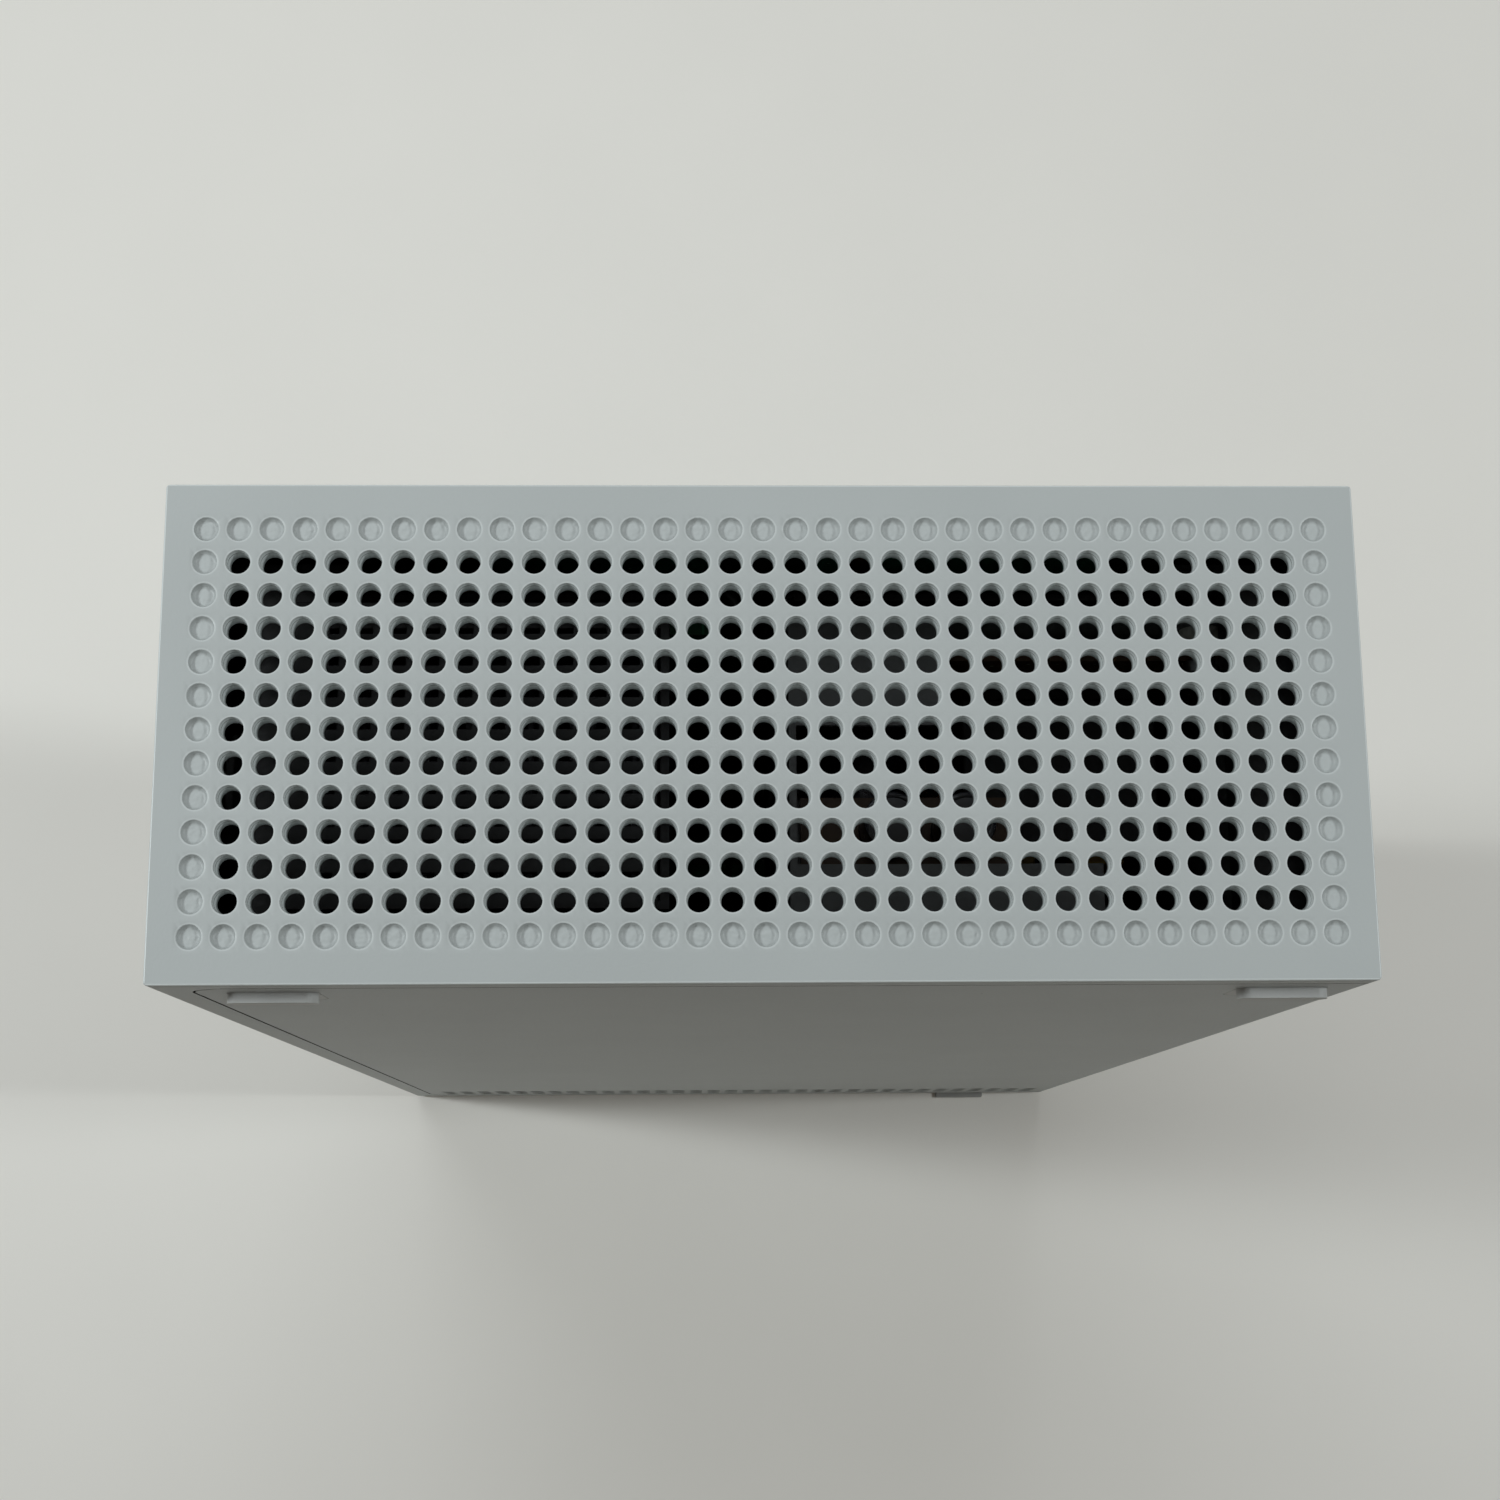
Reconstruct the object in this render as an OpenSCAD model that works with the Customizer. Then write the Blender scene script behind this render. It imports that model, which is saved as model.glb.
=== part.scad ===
// Upright wireless router: a tall moulded case with a fully perforated end,
// an L-shaped removable side cover, a built-in mains supply and a fan-cooled board.
//
// X runs across the two narrow sides, with the controls at -X and the sockets at +X.
// Y runs across the two large faces, with the side cover and its feet at -Y.
// Z runs up from the surface that the base pads stand on to the perforated end.

/* [Case] */
// Width between the two narrow sides
case_w = 151; // [150:0.5:153]
// Depth between the two large faces, without the side feet
case_d = 63.4; // [63:0.1:64]
// Overall height, standing on the base pads
case_h = 275; // [274:0.5:278]
// Wall thickness of the mouldings
wall = 2.4; // [2.2:0.1:2.5]

/* [End grille] */
// Columns of round holes, the outer two being blind dimples
hole_columns = 35; // [31:2:35]
// Rows of round holes, the outer two being blind dimples
hole_rows = 13; // [11:2:13]
// Distance between hole columns
hole_pitch_x = 4.13; // [4.05:0.01:4.18]
// Distance between hole rows
hole_pitch_y = 4.3; // [4.1:0.01:4.32]
// Diameter of the holes and dimples
hole_d = 3.2; // [2.8:0.1:3.4]
// Depth of the blind dimples
dimple_depth = 1; // [0.6:0.1:1]
// Thickness of the perforated end
grille_t = 2.8; // [2.6:0.1:3]
// Thickness of its rim, which caps the case walls
grille_flange_t = 1.1; // [1:0.1:1.2]

/* [Side cover] */
// Width of the case rim round the cover
cover_rim = 4.1; // [3.8:0.1:4.4]
// Gap between the cover and that rim
cover_gap = 0.35; // [0.3:0.05:0.45]
// Radius of the cover's corners
cover_corner_r = 5; // [3:0.5:6]
// Rows of intake holes near the base of the cover
intake_rows = 3; // [2:1:3]
// Columns of intake holes
intake_columns = 34; // [30:2:34]
// Height of the lowest row of intake holes
intake_low_z = 10; // [10:0.1:10.5]

/* [Feet and pads] */
// Width of a side foot
foot_w = 11.4; // [11:0.1:12]
// Length of a side foot's flush plate, along the case
foot_l = 10; // [9:0.5:10.5]
// Length of the rib at a side foot's upper end
foot_rib_l = 3.4; // [3.2:0.1:5]
// How far the rib stands proud of the cover
foot_h = 1.3; // [1:0.1:1.5]
// Distance between the left and right side feet, centre to centre
foot_span = 127.5; // [126:0.5:128]
// Distance from the perforated end to the middle of the feet
foot_from_end = 14; // [13.5:0.5:15]
// Height of a base pad below the case
pad_h = 1.4; // [1.2:0.1:1.6]
// Distance from the middle of the case to the middle of a base pad
pad_offset = 57; // [54:1:60]

/* [Sockets] */
// Height of the middle of the wide area network socket
wan_z = 46; // [45:0.5:47]
// Height of the middle of the local network sockets
lan_z = 86; // [85:0.5:86.5]
// Number of local network sockets
lan_count = 4; // [2:1:4]
// Distance between local network sockets
lan_pitch = 14; // [14:0.1:14.2]
// Height of the middle of the USB socket
usb_z = 124; // [123.5:0.5:125]
// Height of the reset button
reset_z = 136.5; // [136:0.5:137]
// Height of the middle of the mains inlet
inlet_z = 168; // [166:0.5:170]

/* [Controls] */
// Diameter of the power button
power_d = 12; // [10:0.5:13]
// Height of the power button
power_z = 238; // [236:0.5:239]
// Diameter of the pairing button
pair_d = 7; // [6:0.5:8]
// Height of the pairing button
pair_z = 220; // [218:0.5:221]
// Height of the status light
light_z = 207; // [206:0.5:208]
// Travel of the buttons
button_travel = 0.6; // [0.4:0.1:0.7]

/* [Cooling] */
// Size of the square fan
fan_size = 40; // [40:0.5:40.5]
// Thickness of the fan
fan_t = 15; // [14:0.5:15]
// Number of fan blades
blade_count = 7; // [5:1:9]
// Middle of the air path across the case
air_x = -34.5; // [-35:0.5:-34]
// Number of heat sink fins
fin_count = 15; // [11:2:15]
// Distance between fins
fin_pitch = 2.9; // [2.7:0.1:2.9]
// Thickness of a fin
fin_t = 0.9; // [0.7:0.1:1.1]

/* [Power supply] */
// Left side of the supply
supply_left = 4; // [3.5:0.5:5]
// Bottom of the supply
supply_low = 150; // [149:0.5:151]
// Top of the supply
supply_high = 252; // [250:0.5:253]

/* [Screws] */
// Shank diameter of the screws
screw_d = 2.8; // [2.4:0.1:2.9]
// Head diameter of the screws
screw_head_d = 5.4; // [5:0.1:5.6]

/* [Hidden] */
$fn = 48;

// Clearance between parts that only rest against each other
rest_gap = 0.15;
// Clearance round moving parts
run_gap = 0.3;
// Overlap that lets one solid merge with the next
merge = 0.05;

// Outer faces of the case
right_x = case_w / 2;
left_x = -right_x;
back_y = (case_d + foot_h) / 2;
face_y = back_y - case_d;
base_z = pad_h;

// Inner faces of the case
in_right = right_x - wall;
in_left = left_x + wall;
in_back = back_y - wall;
in_face = face_y + wall;
in_floor = base_z + wall;
in_top = case_h - grille_t;
shell_top = case_h - grille_flange_t;

// Opening for the cover, on the -Y face and round the +X side
open_left = left_x + cover_rim;
open_low = base_z + cover_rim;
open_high = case_h - cover_rim;
open_back = back_y - cover_rim;
cover_left = open_left + cover_gap;
cover_low = open_low + cover_gap;
cover_high = open_high - cover_gap;
cover_back = open_back - cover_gap;
cover_mid_x = (open_left + right_x) / 2;
ledge_w = 1.3;
ledge_t = 1.6;
ledge_face = in_face + 0.2;
ledge_side = in_right - 0.2;

// Feet and the cover screws under them, as [x, z]
foot_recess = 0.5;
foot_corner_r = 1.5;
foot_places = [
    for (x = [cover_mid_x - foot_span / 2, cover_mid_x + foot_span / 2])
        [x, case_h - foot_from_end]
];
// Snap catches on the cover that grip the lower ledge from behind, as their middles in X
catch_places = [-45, 5, 55];
catch_w = 8;
catch_t = 1.2;
catch_low = open_low + ledge_w + 0.2;
catch_face = ledge_face + ledge_t + rest_gap;
catch_grip = 1;
pad_w = 19;
pad_l = 46;
pad_recess = 0.5;
cover_boss_d = 9;
cover_boss_h = 3;
cover_boss_end = in_face + cover_boss_h;
leg_w = 8;
leg_end = cover_boss_end + rest_gap;

// Chassis tray and main board, parallel to the back wall
shell_boss_h = 5.2;
shell_boss_d = 7;
chassis_back = in_back - shell_boss_h;
chassis_t = 1;
chassis_front = chassis_back - chassis_t;
standoff_h = 3;
standoff_d = 6;
board_t = 1.6;
board_back = chassis_front - standoff_h;
board_face = board_back - board_t;
board_left = -70;
board_right = 70;
board_low = 8;
board_step_z = 142;
board_step_x = -6;
board_high = 250;
bore_d = screw_d + 0.2;
head_h = 1.7;
chassis_screw_places = [[-64, 44], [64, 20], [-64, 208], [56, 208]];
board_screw_places = [[-50, 14], [50, 14], [-66, 124], [44, 136], [-66, 244], [-11, 246]];

// Air path: fan, heat sink in its duct, inner grille under the perforated end
fan_y = -2.5;
fan_low = 128;
fan_high = fan_low + fan_t;
fan_bore = fan_size - 2.4;
fan_hole_span = fan_size - 8;
hub_d = 22;
hub_wall = 1.3;
blade_d = fan_bore - 1.2;
sink_low = 151;
sink_high = 240;
sink_half = ((fin_count - 1) * fin_pitch + fin_t) / 2;
chip_t = 1.2;
thermal_t = 0.4;
sink_base_t = 4;
sink_base_y = board_face - chip_t - thermal_t - sink_base_t;
fin_end_y = -19;
chip_z = 195;
chip_w = 24;
sink_screw_places = [161, 229];
duct_t = 1.2;
duct_half = sink_half + 0.6 + duct_t;
duct_face = fin_end_y - 0.6 - duct_t;
duct_low = fan_high;
duct_high = 265.6;
duct_back = board_face - 2;
exhaust_t = 1.2;

// Supply
supply_right = 69;
sheet_t = 1;
supply_back = chassis_front - 2;
supply_front = -25;
supply_board_y = supply_back - sheet_t - 3;
filter_z = 239.4;
filter_y = -7;
supply_screw_places = [[10, supply_low + 6], [62, supply_low + 6], [10, 246], [62, 246]];

// Sockets
socket_face = right_x - 0.4;
jack_w = 16;
jack_h = 13.4;
jack_l = 21.3;
jack_y = board_face - jack_h;
jack_open_w = 12;
jack_open_h = 7.2;
jack_open_l = 16;
jack_open_y = board_face - 2.6 - jack_open_h;
latch_w = 6.4;
latch_h = 2.2;
contact_pitch = 1.02;
usb_w = 13.1;
usb_h = 5.8;
usb_l = 14;
inlet_y = 0;
inlet_w = 22;
inlet_h = 14;
inlet_depth = 9;
pin_span = 8.6;
pin_d = 2.4;
reset_y = board_face - 3.6;
reset_d = 2.4;

// Controls on the -X side
front_board_x = -65.6;
front_board_t = 1.6;
front_board_low = 198;
front_board_high = 252;
front_board_half = 14;
front_screw_places = [[10, 203], [-10, 247]];
button_flange = 1.75;
button_flange_t = 1.2;
switch_h = 3.6;
switch_tip_h = 1;
button_end = front_board_x - switch_h - switch_tip_h - 0.1 - button_travel;
light_d = 3;

// ---- Shared shapes ----

// Block between a low and a high value on each axis
module block(x, y, z) {
    translate([x[0], y[0], z[0]])
        cube([x[1] - x[0], y[1] - y[0], z[1] - z[0]]);
}

// Round bars along an axis, between two values on it
module bar_x(x, y, z, d) {
    translate([x[0], y, z])
        rotate([0, 90, 0])
            cylinder(d = d, h = x[1] - x[0]);
}

module bar_y(x, y, z, d) {
    translate([x, y[1], z])
        rotate([90, 0, 0])
            cylinder(d = d, h = y[1] - y[0]);
}

module bar_z(x, y, z, d) {
    translate([x, y, z[0]])
        cylinder(d = d, h = z[1] - z[0]);
}

// A flat outline in X and Z, made into a slab between two Y values
module slab_xz(y) {
    translate([0, y[1], 0])
        rotate([90, 0, 0])
            linear_extrude(y[1] - y[0])
                children();
}

// A flat outline in Y and Z, made into a slab between two X values
module slab_yz(x) {
    translate([x[0], 0, 0])
        rotate([90, 0, 90])
            linear_extrude(x[1] - x[0])
                children();
}

// Rectangle whose corners at its left end are rounded
module left_rounded(low, high, r) {
    difference() {
        translate(low)
            square(high - low);
        for (side = [0, 1])
            translate([low[0], side == 0 ? low[1] : high[1]])
                mirror([0, side])
                    difference() {
                        translate([-1, -1])
                            square(r + 1);
                        translate([r, r])
                            circle(r);
                    }
    }
}

// Rectangle with all four corners rounded
module rounded_plate(w, h, r) {
    difference() {
        square([w, h], center = true);
        for (sx = [-1, 1], sy = [-1, 1])
            translate([sx * w / 2, sy * h / 2])
                mirror([sx > 0 ? 1 : 0, 0])
                    mirror([0, sy > 0 ? 1 : 0])
                        difference() {
                            translate([-1, -1])
                                square(r + 1);
                            translate([r, r])
                                circle(r);
                        }
    }
}

// Pan-head screw along +Y, its head's underside at y
module screw_y(x, y, z, length, head = head_h) {
    difference() {
        union() {
            bar_y(x, [y - head, y], z, screw_head_d);
            bar_y(x, [y - merge, y + length], z, screw_d);
        }
        for (turn = [0, 90])
            translate([x, y - head, z])
                rotate([0, turn, 0])
                    cube([3, 1.4, 0.6], center = true);
    }
}

// Ring frames carried along a route, so that a lead doesn't twist
function unit(v) = v / norm(v);
function heading(route, i) =
    unit(route[min(i + 1, len(route) - 1)] - route[max(i - 1, 0)]);
function level(v, t) = unit(v - (v * t) * t);
function carried(route, i) =
    i == 0 ? level([0.31, 0.23, 0.92], heading(route, 0))
           : level(carried(route, i - 1), heading(route, i));

// One blended step between two points of a route
function blend(a, b, c, d, t) =
    0.5 * (2 * b + (c - a) * t + (2 * a - 5 * b + 4 * c - d) * t * t
           + (3 * b - a - 3 * c + d) * t * t * t);
function smooth(route, steps) = concat(
    [for (i = [0:len(route) - 2], s = [0:steps - 1])
        blend(route[max(i - 1, 0)], route[i], route[i + 1],
              route[min(i + 2, len(route) - 1)], s / steps)],
    [route[len(route) - 1]]
);

// Flexible lead: one closed tube swept along a smoothed route
module lead(points, d, steps = 3, sides = 8) {
    route = smooth(points, steps);
    rings = len(route);
    vertices = [
        for (i = [0:rings - 1])
            let (t = heading(route, i), u = carried(route, i), v = cross(t, u))
                for (k = [0:sides - 1])
                    route[i] + d / 2 * (cos(360 * k / sides) * u + sin(360 * k / sides) * v)
    ];
    walls = [
        for (i = [0:rings - 2], k = [0:sides - 1])
            [i * sides + k, (i + 1) * sides + k,
             (i + 1) * sides + (k + 1) % sides, i * sides + (k + 1) % sides]
    ];
    start_cap = [for (k = [0:sides - 1]) k];
    end_cap = [for (k = [sides - 1:-1:0]) (rings - 1) * sides + k];
    polyhedron(vertices, concat([start_cap], walls, [end_cap]));
}

// ---- Case ----

function grid_place(column, row) = [
    (column - (hole_columns - 1) / 2) * hole_pitch_x,
    (row - (hole_rows - 1) / 2) * hole_pitch_y + (face_y + back_y) / 2
];
function on_edge(column, row) =
    column == 0 || column == hole_columns - 1 || row == 0 || row == hole_rows - 1;

// Ledges behind the cover's edges, which it rests against
module cover_ledges() {
    for (side = [0, 1]) {
        near = side == 0 ? [in_floor, open_low] : [open_high, in_top - rest_gap];
        lip = side == 0 ? [open_low - merge, open_low + ledge_w]
                        : [open_high - ledge_w, open_high + merge];
        block([in_left, ledge_side], [in_face - merge, ledge_face + ledge_t], near);
        block([in_left, ledge_side], [ledge_face, ledge_face + ledge_t], lip);
        block([ledge_side - ledge_t, in_right + merge], [in_face, in_back + merge], near);
        block([ledge_side - ledge_t, ledge_side], [in_face + merge, in_back + merge], lip);
    }
    block([ledge_side - ledge_t, ledge_side], [open_back - ledge_w, in_back + merge],
          [in_floor, in_top - rest_gap]);
}

module main_shell() {
    color([0.9, 0.92, 0.92])
    difference() {
        union() {
            difference() {
                block([left_x, right_x], [face_y, back_y], [base_z, shell_top]);
                block([in_left, in_right], [in_face, in_back], [in_floor, case_h]);
                slab_xz([face_y - 1, in_face + merge])
                    left_rounded([open_left, open_low], [right_x + 1, open_high],
                                 cover_corner_r + cover_gap);
                slab_yz([in_right - merge, right_x + 1])
                    mirror([1, 0])
                        left_rounded([-open_back, open_low], [-face_y + 1, open_high],
                                     cover_corner_r + cover_gap);
            }
            cover_ledges();
            for (place = chassis_screw_places)
                bar_y(place[0], [chassis_back, in_back + merge], place[1], shell_boss_d);
            for (place = front_screw_places)
                bar_x([in_left - merge, front_board_x], place[0], place[1], 6);
        }
        for (place = chassis_screw_places)
            bar_y(place[0], [chassis_back - 1, in_back + 0.9], place[1], bore_d);
        for (place = front_screw_places)
            bar_x([in_left - 0.9, front_board_x + 1], place[0], place[1], 2.4);
        bar_x([left_x - 1, in_left + 1], 0, power_z, power_d + 2 * run_gap);
        bar_x([left_x - 1, in_left + 1], 0, pair_z, pair_d + 2 * run_gap);
        bar_x([left_x - 1, in_left + 1], 0, light_z, light_d + 0.2);
        for (side = [-1, 1])
            block([side * pad_offset - pad_w / 2 - 0.1, side * pad_offset + pad_w / 2 + 0.1],
                  [-pad_l / 2 - 0.1, pad_l / 2 + 0.1], [0, base_z + pad_recess]);
        for (x = [-30, 30])
            block([x - 4.4, x + 4.4], [in_back - 1, in_back + 1], [264.6, 267.4]);
        for (y = [-14, 14])
            block([in_left - 1, in_left + 1], [y - 4.4, y + 4.4], [264.6, 267.4]);
    }
}

module side_cover() {
    color([0.88, 0.9, 0.89])
    difference() {
        union() {
            slab_xz([face_y, in_face])
                left_rounded([cover_left, cover_low], [right_x, cover_high], cover_corner_r);
            slab_yz([in_right, right_x])
                mirror([1, 0])
                    left_rounded([-cover_back, cover_low], [-face_y, cover_high],
                                 cover_corner_r);
            for (place = foot_places)
                bar_y(place[0], [in_face - merge, cover_boss_end], place[1], cover_boss_d);
            for (x = catch_places) {
                block([x - catch_w / 2, x + catch_w / 2],
                      [in_face - merge, catch_face + catch_t], [catch_low, catch_low + catch_t]);
                block([x - catch_w / 2, x + catch_w / 2], [catch_face, catch_face + catch_t],
                      [catch_low - catch_grip, catch_low + catch_t]);
            }
            // Tongue that hooks behind the left rim
            block([cover_left + 0.6, cover_left + 4], [in_face - merge, ledge_face + 1.4],
                  [14, 262]);
            block([in_left + 0.4, cover_left + 4], [ledge_face, ledge_face + 1.4], [14, 262]);
        }
        for (place = foot_places) {
            translate([place[0], 0, place[1]])
                slab_xz([face_y - 1, face_y + foot_recess])
                    rounded_plate(foot_w + 0.2, foot_l + 0.2, foot_corner_r);
            bar_y(place[0], [face_y, in_face + 0.1], place[1], screw_head_d + 0.5);
            bar_y(place[0], [face_y, cover_boss_end + 1], place[1], bore_d + 0.2);
        }
        slab_xz([face_y - 1, in_face + 1])
            for (column = [0:intake_columns - 1], row = [0:intake_rows - 1])
                translate([cover_mid_x + (column - (intake_columns - 1) / 2) * hole_pitch_x,
                           intake_low_z + row * hole_pitch_y])
                    circle(d = hole_d);
        socket_window(jack_y, board_face, wan_z, jack_w);
        socket_window(jack_y, board_face, lan_z, lan_width());
        socket_window(board_face - usb_h, board_face, usb_z, usb_w);
        socket_window(inlet_y - inlet_h / 2, inlet_y + inlet_h / 2, inlet_z, inlet_w);
        bar_x([in_right - 1, right_x + 1], reset_y, reset_z, reset_d + 0.8);
    }
}

// Window in the +X wall of the cover round a socket
module socket_window(y_low, y_high, z, w) {
    block([in_right - 1, right_x + 1], [y_low - 0.3, y_high + 0.3],
          [z - w / 2 - 0.3, z + w / 2 + 0.3]);
}

module end_grille() {
    plug_w = 2 * (in_right - 0.15);
    plug_d = case_d - 2 * wall - 0.3;
    mid_y = (face_y + back_y) / 2;
    color([0.93, 0.95, 0.95]) {
        difference() {
            translate([0, 0, in_top])
                linear_extrude(grille_t)
                    difference() {
                        translate([0, mid_y])
                            square([plug_w, plug_d], center = true);
                        for (column = [1:hole_columns - 2], row = [1:hole_rows - 2])
                            translate(grid_place(column, row))
                                circle(d = hole_d);
                    }
            for (column = [0:hole_columns - 1], row = [0:hole_rows - 1])
                if (on_edge(column, row))
                    translate(grid_place(column, row))
                        translate([0, 0, case_h - dimple_depth])
                            cylinder(d = hole_d, h = dimple_depth + 1);
        }
        translate([0, 0, shell_top])
            linear_extrude(grille_flange_t)
                difference() {
                    translate([0, mid_y])
                        square([case_w, case_d], center = true);
                    translate([0, mid_y])
                        square([plug_w, plug_d], center = true);
                }
        // Snap hooks behind the back wall and the left wall
        for (x = [-30, 30]) {
            block([x - 4, x + 4], [in_back - 1.5, in_back - 0.3], [264.8, in_top + merge]);
            block([x - 4, x + 4], [in_back - 0.4, in_back + 0.6], [264.8, 266.8]);
        }
        for (y = [-14, 14]) {
            block([in_left + 0.3, in_left + 1.5], [y - 4, y + 4], [264.8, in_top + merge]);
            block([in_left - 0.6, in_left + 0.4], [y - 4, y + 4], [264.8, 266.8]);
        }
    }
}

module side_feet() {
    color([0.82, 0.84, 0.83])
    for (place = foot_places)
        translate([place[0], 0, place[1]]) {
            slab_xz([face_y, face_y + foot_recess])
                rounded_plate(foot_w, foot_l, foot_corner_r);
            translate([0, 0, (foot_l - foot_rib_l) / 2])
                slab_xz([face_y - foot_h, face_y + foot_recess])
                    rounded_plate(foot_w, foot_rib_l, foot_corner_r);
        }
}

module base_pads() {
    color([0.25, 0.26, 0.26])
    for (side = [-1, 1])
        block([side * pad_offset - pad_w / 2, side * pad_offset + pad_w / 2],
              [-pad_l / 2, pad_l / 2], [0, base_z + pad_recess]);
}

// ---- Chassis ----

module chassis() {
    color([0.16, 0.16, 0.17])
    difference() {
        union() {
            slab_xz([chassis_front, chassis_back])
                difference() {
                    translate([board_left, 12])
                        square([board_right - board_left, 253]);
                    translate([-54, 218])
                        square([108, 60]);
                    translate([-44, 70])
                        square([70, 56]);
                }
            for (place = foot_places)
                block([place[0] - leg_w / 2, place[0] + leg_w / 2],
                      [leg_end, chassis_front + merge],
                      [place[1] - leg_w / 2, place[1] + leg_w / 2]);
            for (place = board_screw_places)
                bar_y(place[0], [board_back, chassis_front + merge], place[1], standoff_d);
            for (place = supply_screw_places)
                bar_y(place[0], [supply_back, chassis_front + merge], place[1], standoff_d);
            // Tabs that carry the board's lower screws and the upper ones
            for (place = board_screw_places)
                block([place[0] - 5, place[0] + 5], [chassis_front, chassis_back],
                      [place[1] - 5, place[1] + 5]);
            for (place = supply_screw_places)
                block([place[0] - 5, max(place[0], 54) + 5], [chassis_front, chassis_back],
                      [place[1] - 5, place[1] + 5]);
            block([-66, -9], [chassis_front, chassis_back], [241, 251]);
        }
        for (place = foot_places)
            bar_y(place[0], [leg_end - 1, leg_end + 10], place[1], bore_d);
        for (place = board_screw_places)
            bar_y(place[0], [board_back - 1, chassis_back + 1], place[1], bore_d);
        for (place = supply_screw_places)
            bar_y(place[0], [supply_back - 1, chassis_back + 1], place[1], bore_d);
        for (place = chassis_screw_places)
            bar_y(place[0], [chassis_front - 1, chassis_back + 1], place[1], bore_d + 0.4);
    }
}

// ---- Air path ----

module exhaust_grille() {
    color([0.14, 0.14, 0.15])
    translate([0, 0, duct_high])
        linear_extrude(exhaust_t)
            difference() {
                translate([-61, -20.8])
                    square([47.5, 40]);
                for (column = [0:9], row = [0:8])
                    translate([-57.5 + column * 4.3, -18.6 + row * 4.2])
                        square([3, 2.4]);
            }
}

module air_duct() {
    wall_in = duct_half - duct_t;
    color([0.2, 0.2, 0.21])
    difference() {
        union() {
            difference() {
                block([air_x - duct_half, air_x + duct_half], [duct_face, duct_back],
                      [duct_low, duct_high]);
                block([air_x - wall_in, air_x + wall_in],
                      [duct_face + duct_t, duct_back - duct_t],
                      [duct_low + duct_t, duct_high + 1]);
                // The side towards the board is open for the heat sink's base
                block([air_x - duct_half - 1, air_x + duct_half + 1],
                      [sink_base_y - 0.3, duct_back + 1], [duct_low - 1, sink_high + 0.6]);
            }
            // Plate that the fan is screwed to
            block([air_x - fan_size / 2, air_x + fan_size / 2],
                  [fan_y - fan_size / 2, fan_y + fan_size / 2],
                  [duct_low, duct_low + duct_t + 1.8]);
        }
        bar_z(air_x, fan_y, [duct_low - 1, duct_low + 5], fan_bore);
        for (sx = [-1, 1], sy = [-1, 1])
            bar_z(air_x + sx * fan_hole_span / 2, fan_y + sy * fan_hole_span / 2,
                  [duct_low - 1, duct_low + 5], bore_d);
    }
}

module heat_sink() {
    color([0.62, 0.64, 0.66])
    difference() {
        union() {
            block([air_x - sink_half, air_x + sink_half],
                  [sink_base_y, sink_base_y + sink_base_t], [sink_low, sink_high]);
            for (i = [0:fin_count - 1])
                translate([air_x - sink_half + i * fin_pitch, 0, 0])
                    block([0, fin_t], [fin_end_y, sink_base_y + merge], [sink_low, sink_high]);
        }
        for (z = sink_screw_places) {
            block([air_x - 4, air_x + 4], [fin_end_y - 1, sink_base_y], [z - 4, z + 4]);
            bar_y(air_x, [sink_base_y - 1, sink_base_y + sink_base_t + 1], z, bore_d);
        }
    }
}

module thermal_pad() {
    color([0.55, 0.6, 0.72])
    block([air_x - chip_w / 2, air_x + chip_w / 2],
          [board_face - chip_t - thermal_t, board_face - chip_t],
          [chip_z - chip_w / 2, chip_z + chip_w / 2]);
}

module processor() {
    color([0.12, 0.12, 0.13])
    block([air_x - chip_w / 2 - 2, air_x + chip_w / 2 + 2], [board_face - chip_t, board_face],
          [chip_z - chip_w / 2 - 2, chip_z + chip_w / 2 + 2]);
}

module heat_sink_screws() {
    color([0.6, 0.6, 0.6])
    for (z = sink_screw_places)
        screw_y(air_x, sink_base_y, z, 8);
}

module fan_frame() {
    color([0.13, 0.13, 0.14])
    difference() {
        union() {
            difference() {
                block([air_x - fan_size / 2, air_x + fan_size / 2],
                      [fan_y - fan_size / 2, fan_y + fan_size / 2], [fan_low, fan_high]);
                bar_z(air_x, fan_y, [fan_low - 1, fan_high + 1], fan_bore);
            }
            intersection() {
                for (turn = [30, 150, 270])
                    translate([air_x, fan_y, fan_low])
                        rotate([0, 0, turn])
                            translate([0, -1.5, 0])
                                cube([fan_bore / 2 + 1, 3, 1.6]);
                block([air_x - fan_size / 2, air_x + fan_size / 2],
                      [fan_y - fan_size / 2, fan_y + fan_size / 2], [fan_low, fan_high]);
            }
            bar_z(air_x, fan_y, [fan_low, fan_low + 1.6], hub_d);
            bar_z(air_x, fan_y, [fan_low, fan_high - 5], hub_d - 2 * hub_wall - 2 * run_gap - 1);
        }
        for (sx = [-1, 1], sy = [-1, 1])
            bar_z(air_x + sx * fan_hole_span / 2, fan_y + sy * fan_hole_span / 2,
                  [fan_low - 1, fan_high + 1], bore_d + 0.2);
        bar_z(air_x, fan_y, [fan_low + 2, fan_high], 2 + 2 * run_gap);
    }
}

module fan_rotor() {
    low = fan_low + 2.2;
    high = fan_high - 0.8;
    color([0.1, 0.1, 0.11])
    union() {
        difference() {
            bar_z(air_x, fan_y, [low, high], hub_d);
            bar_z(air_x, fan_y, [low - 1, high - 1.4], hub_d - 2 * hub_wall);
        }
        bar_z(air_x, fan_y, [fan_low + 3, high - 1], 2);
        intersection() {
            for (i = [0:blade_count - 1])
                translate([air_x, fan_y, (low + high) / 2])
                    rotate([0, 0, i * 360 / blade_count])
                        translate([hub_d / 2 - 0.6, 0, 0])
                            rotate([38, 0, 0])
                                translate([0, -0.6, -12])
                                    cube([blade_d / 2, 1.2, 24]);
            difference() {
                bar_z(air_x, fan_y, [low + 0.4, high - 0.4], blade_d);
                bar_z(air_x, fan_y, [low, high], hub_d - 1);
            }
        }
    }
}

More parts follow.
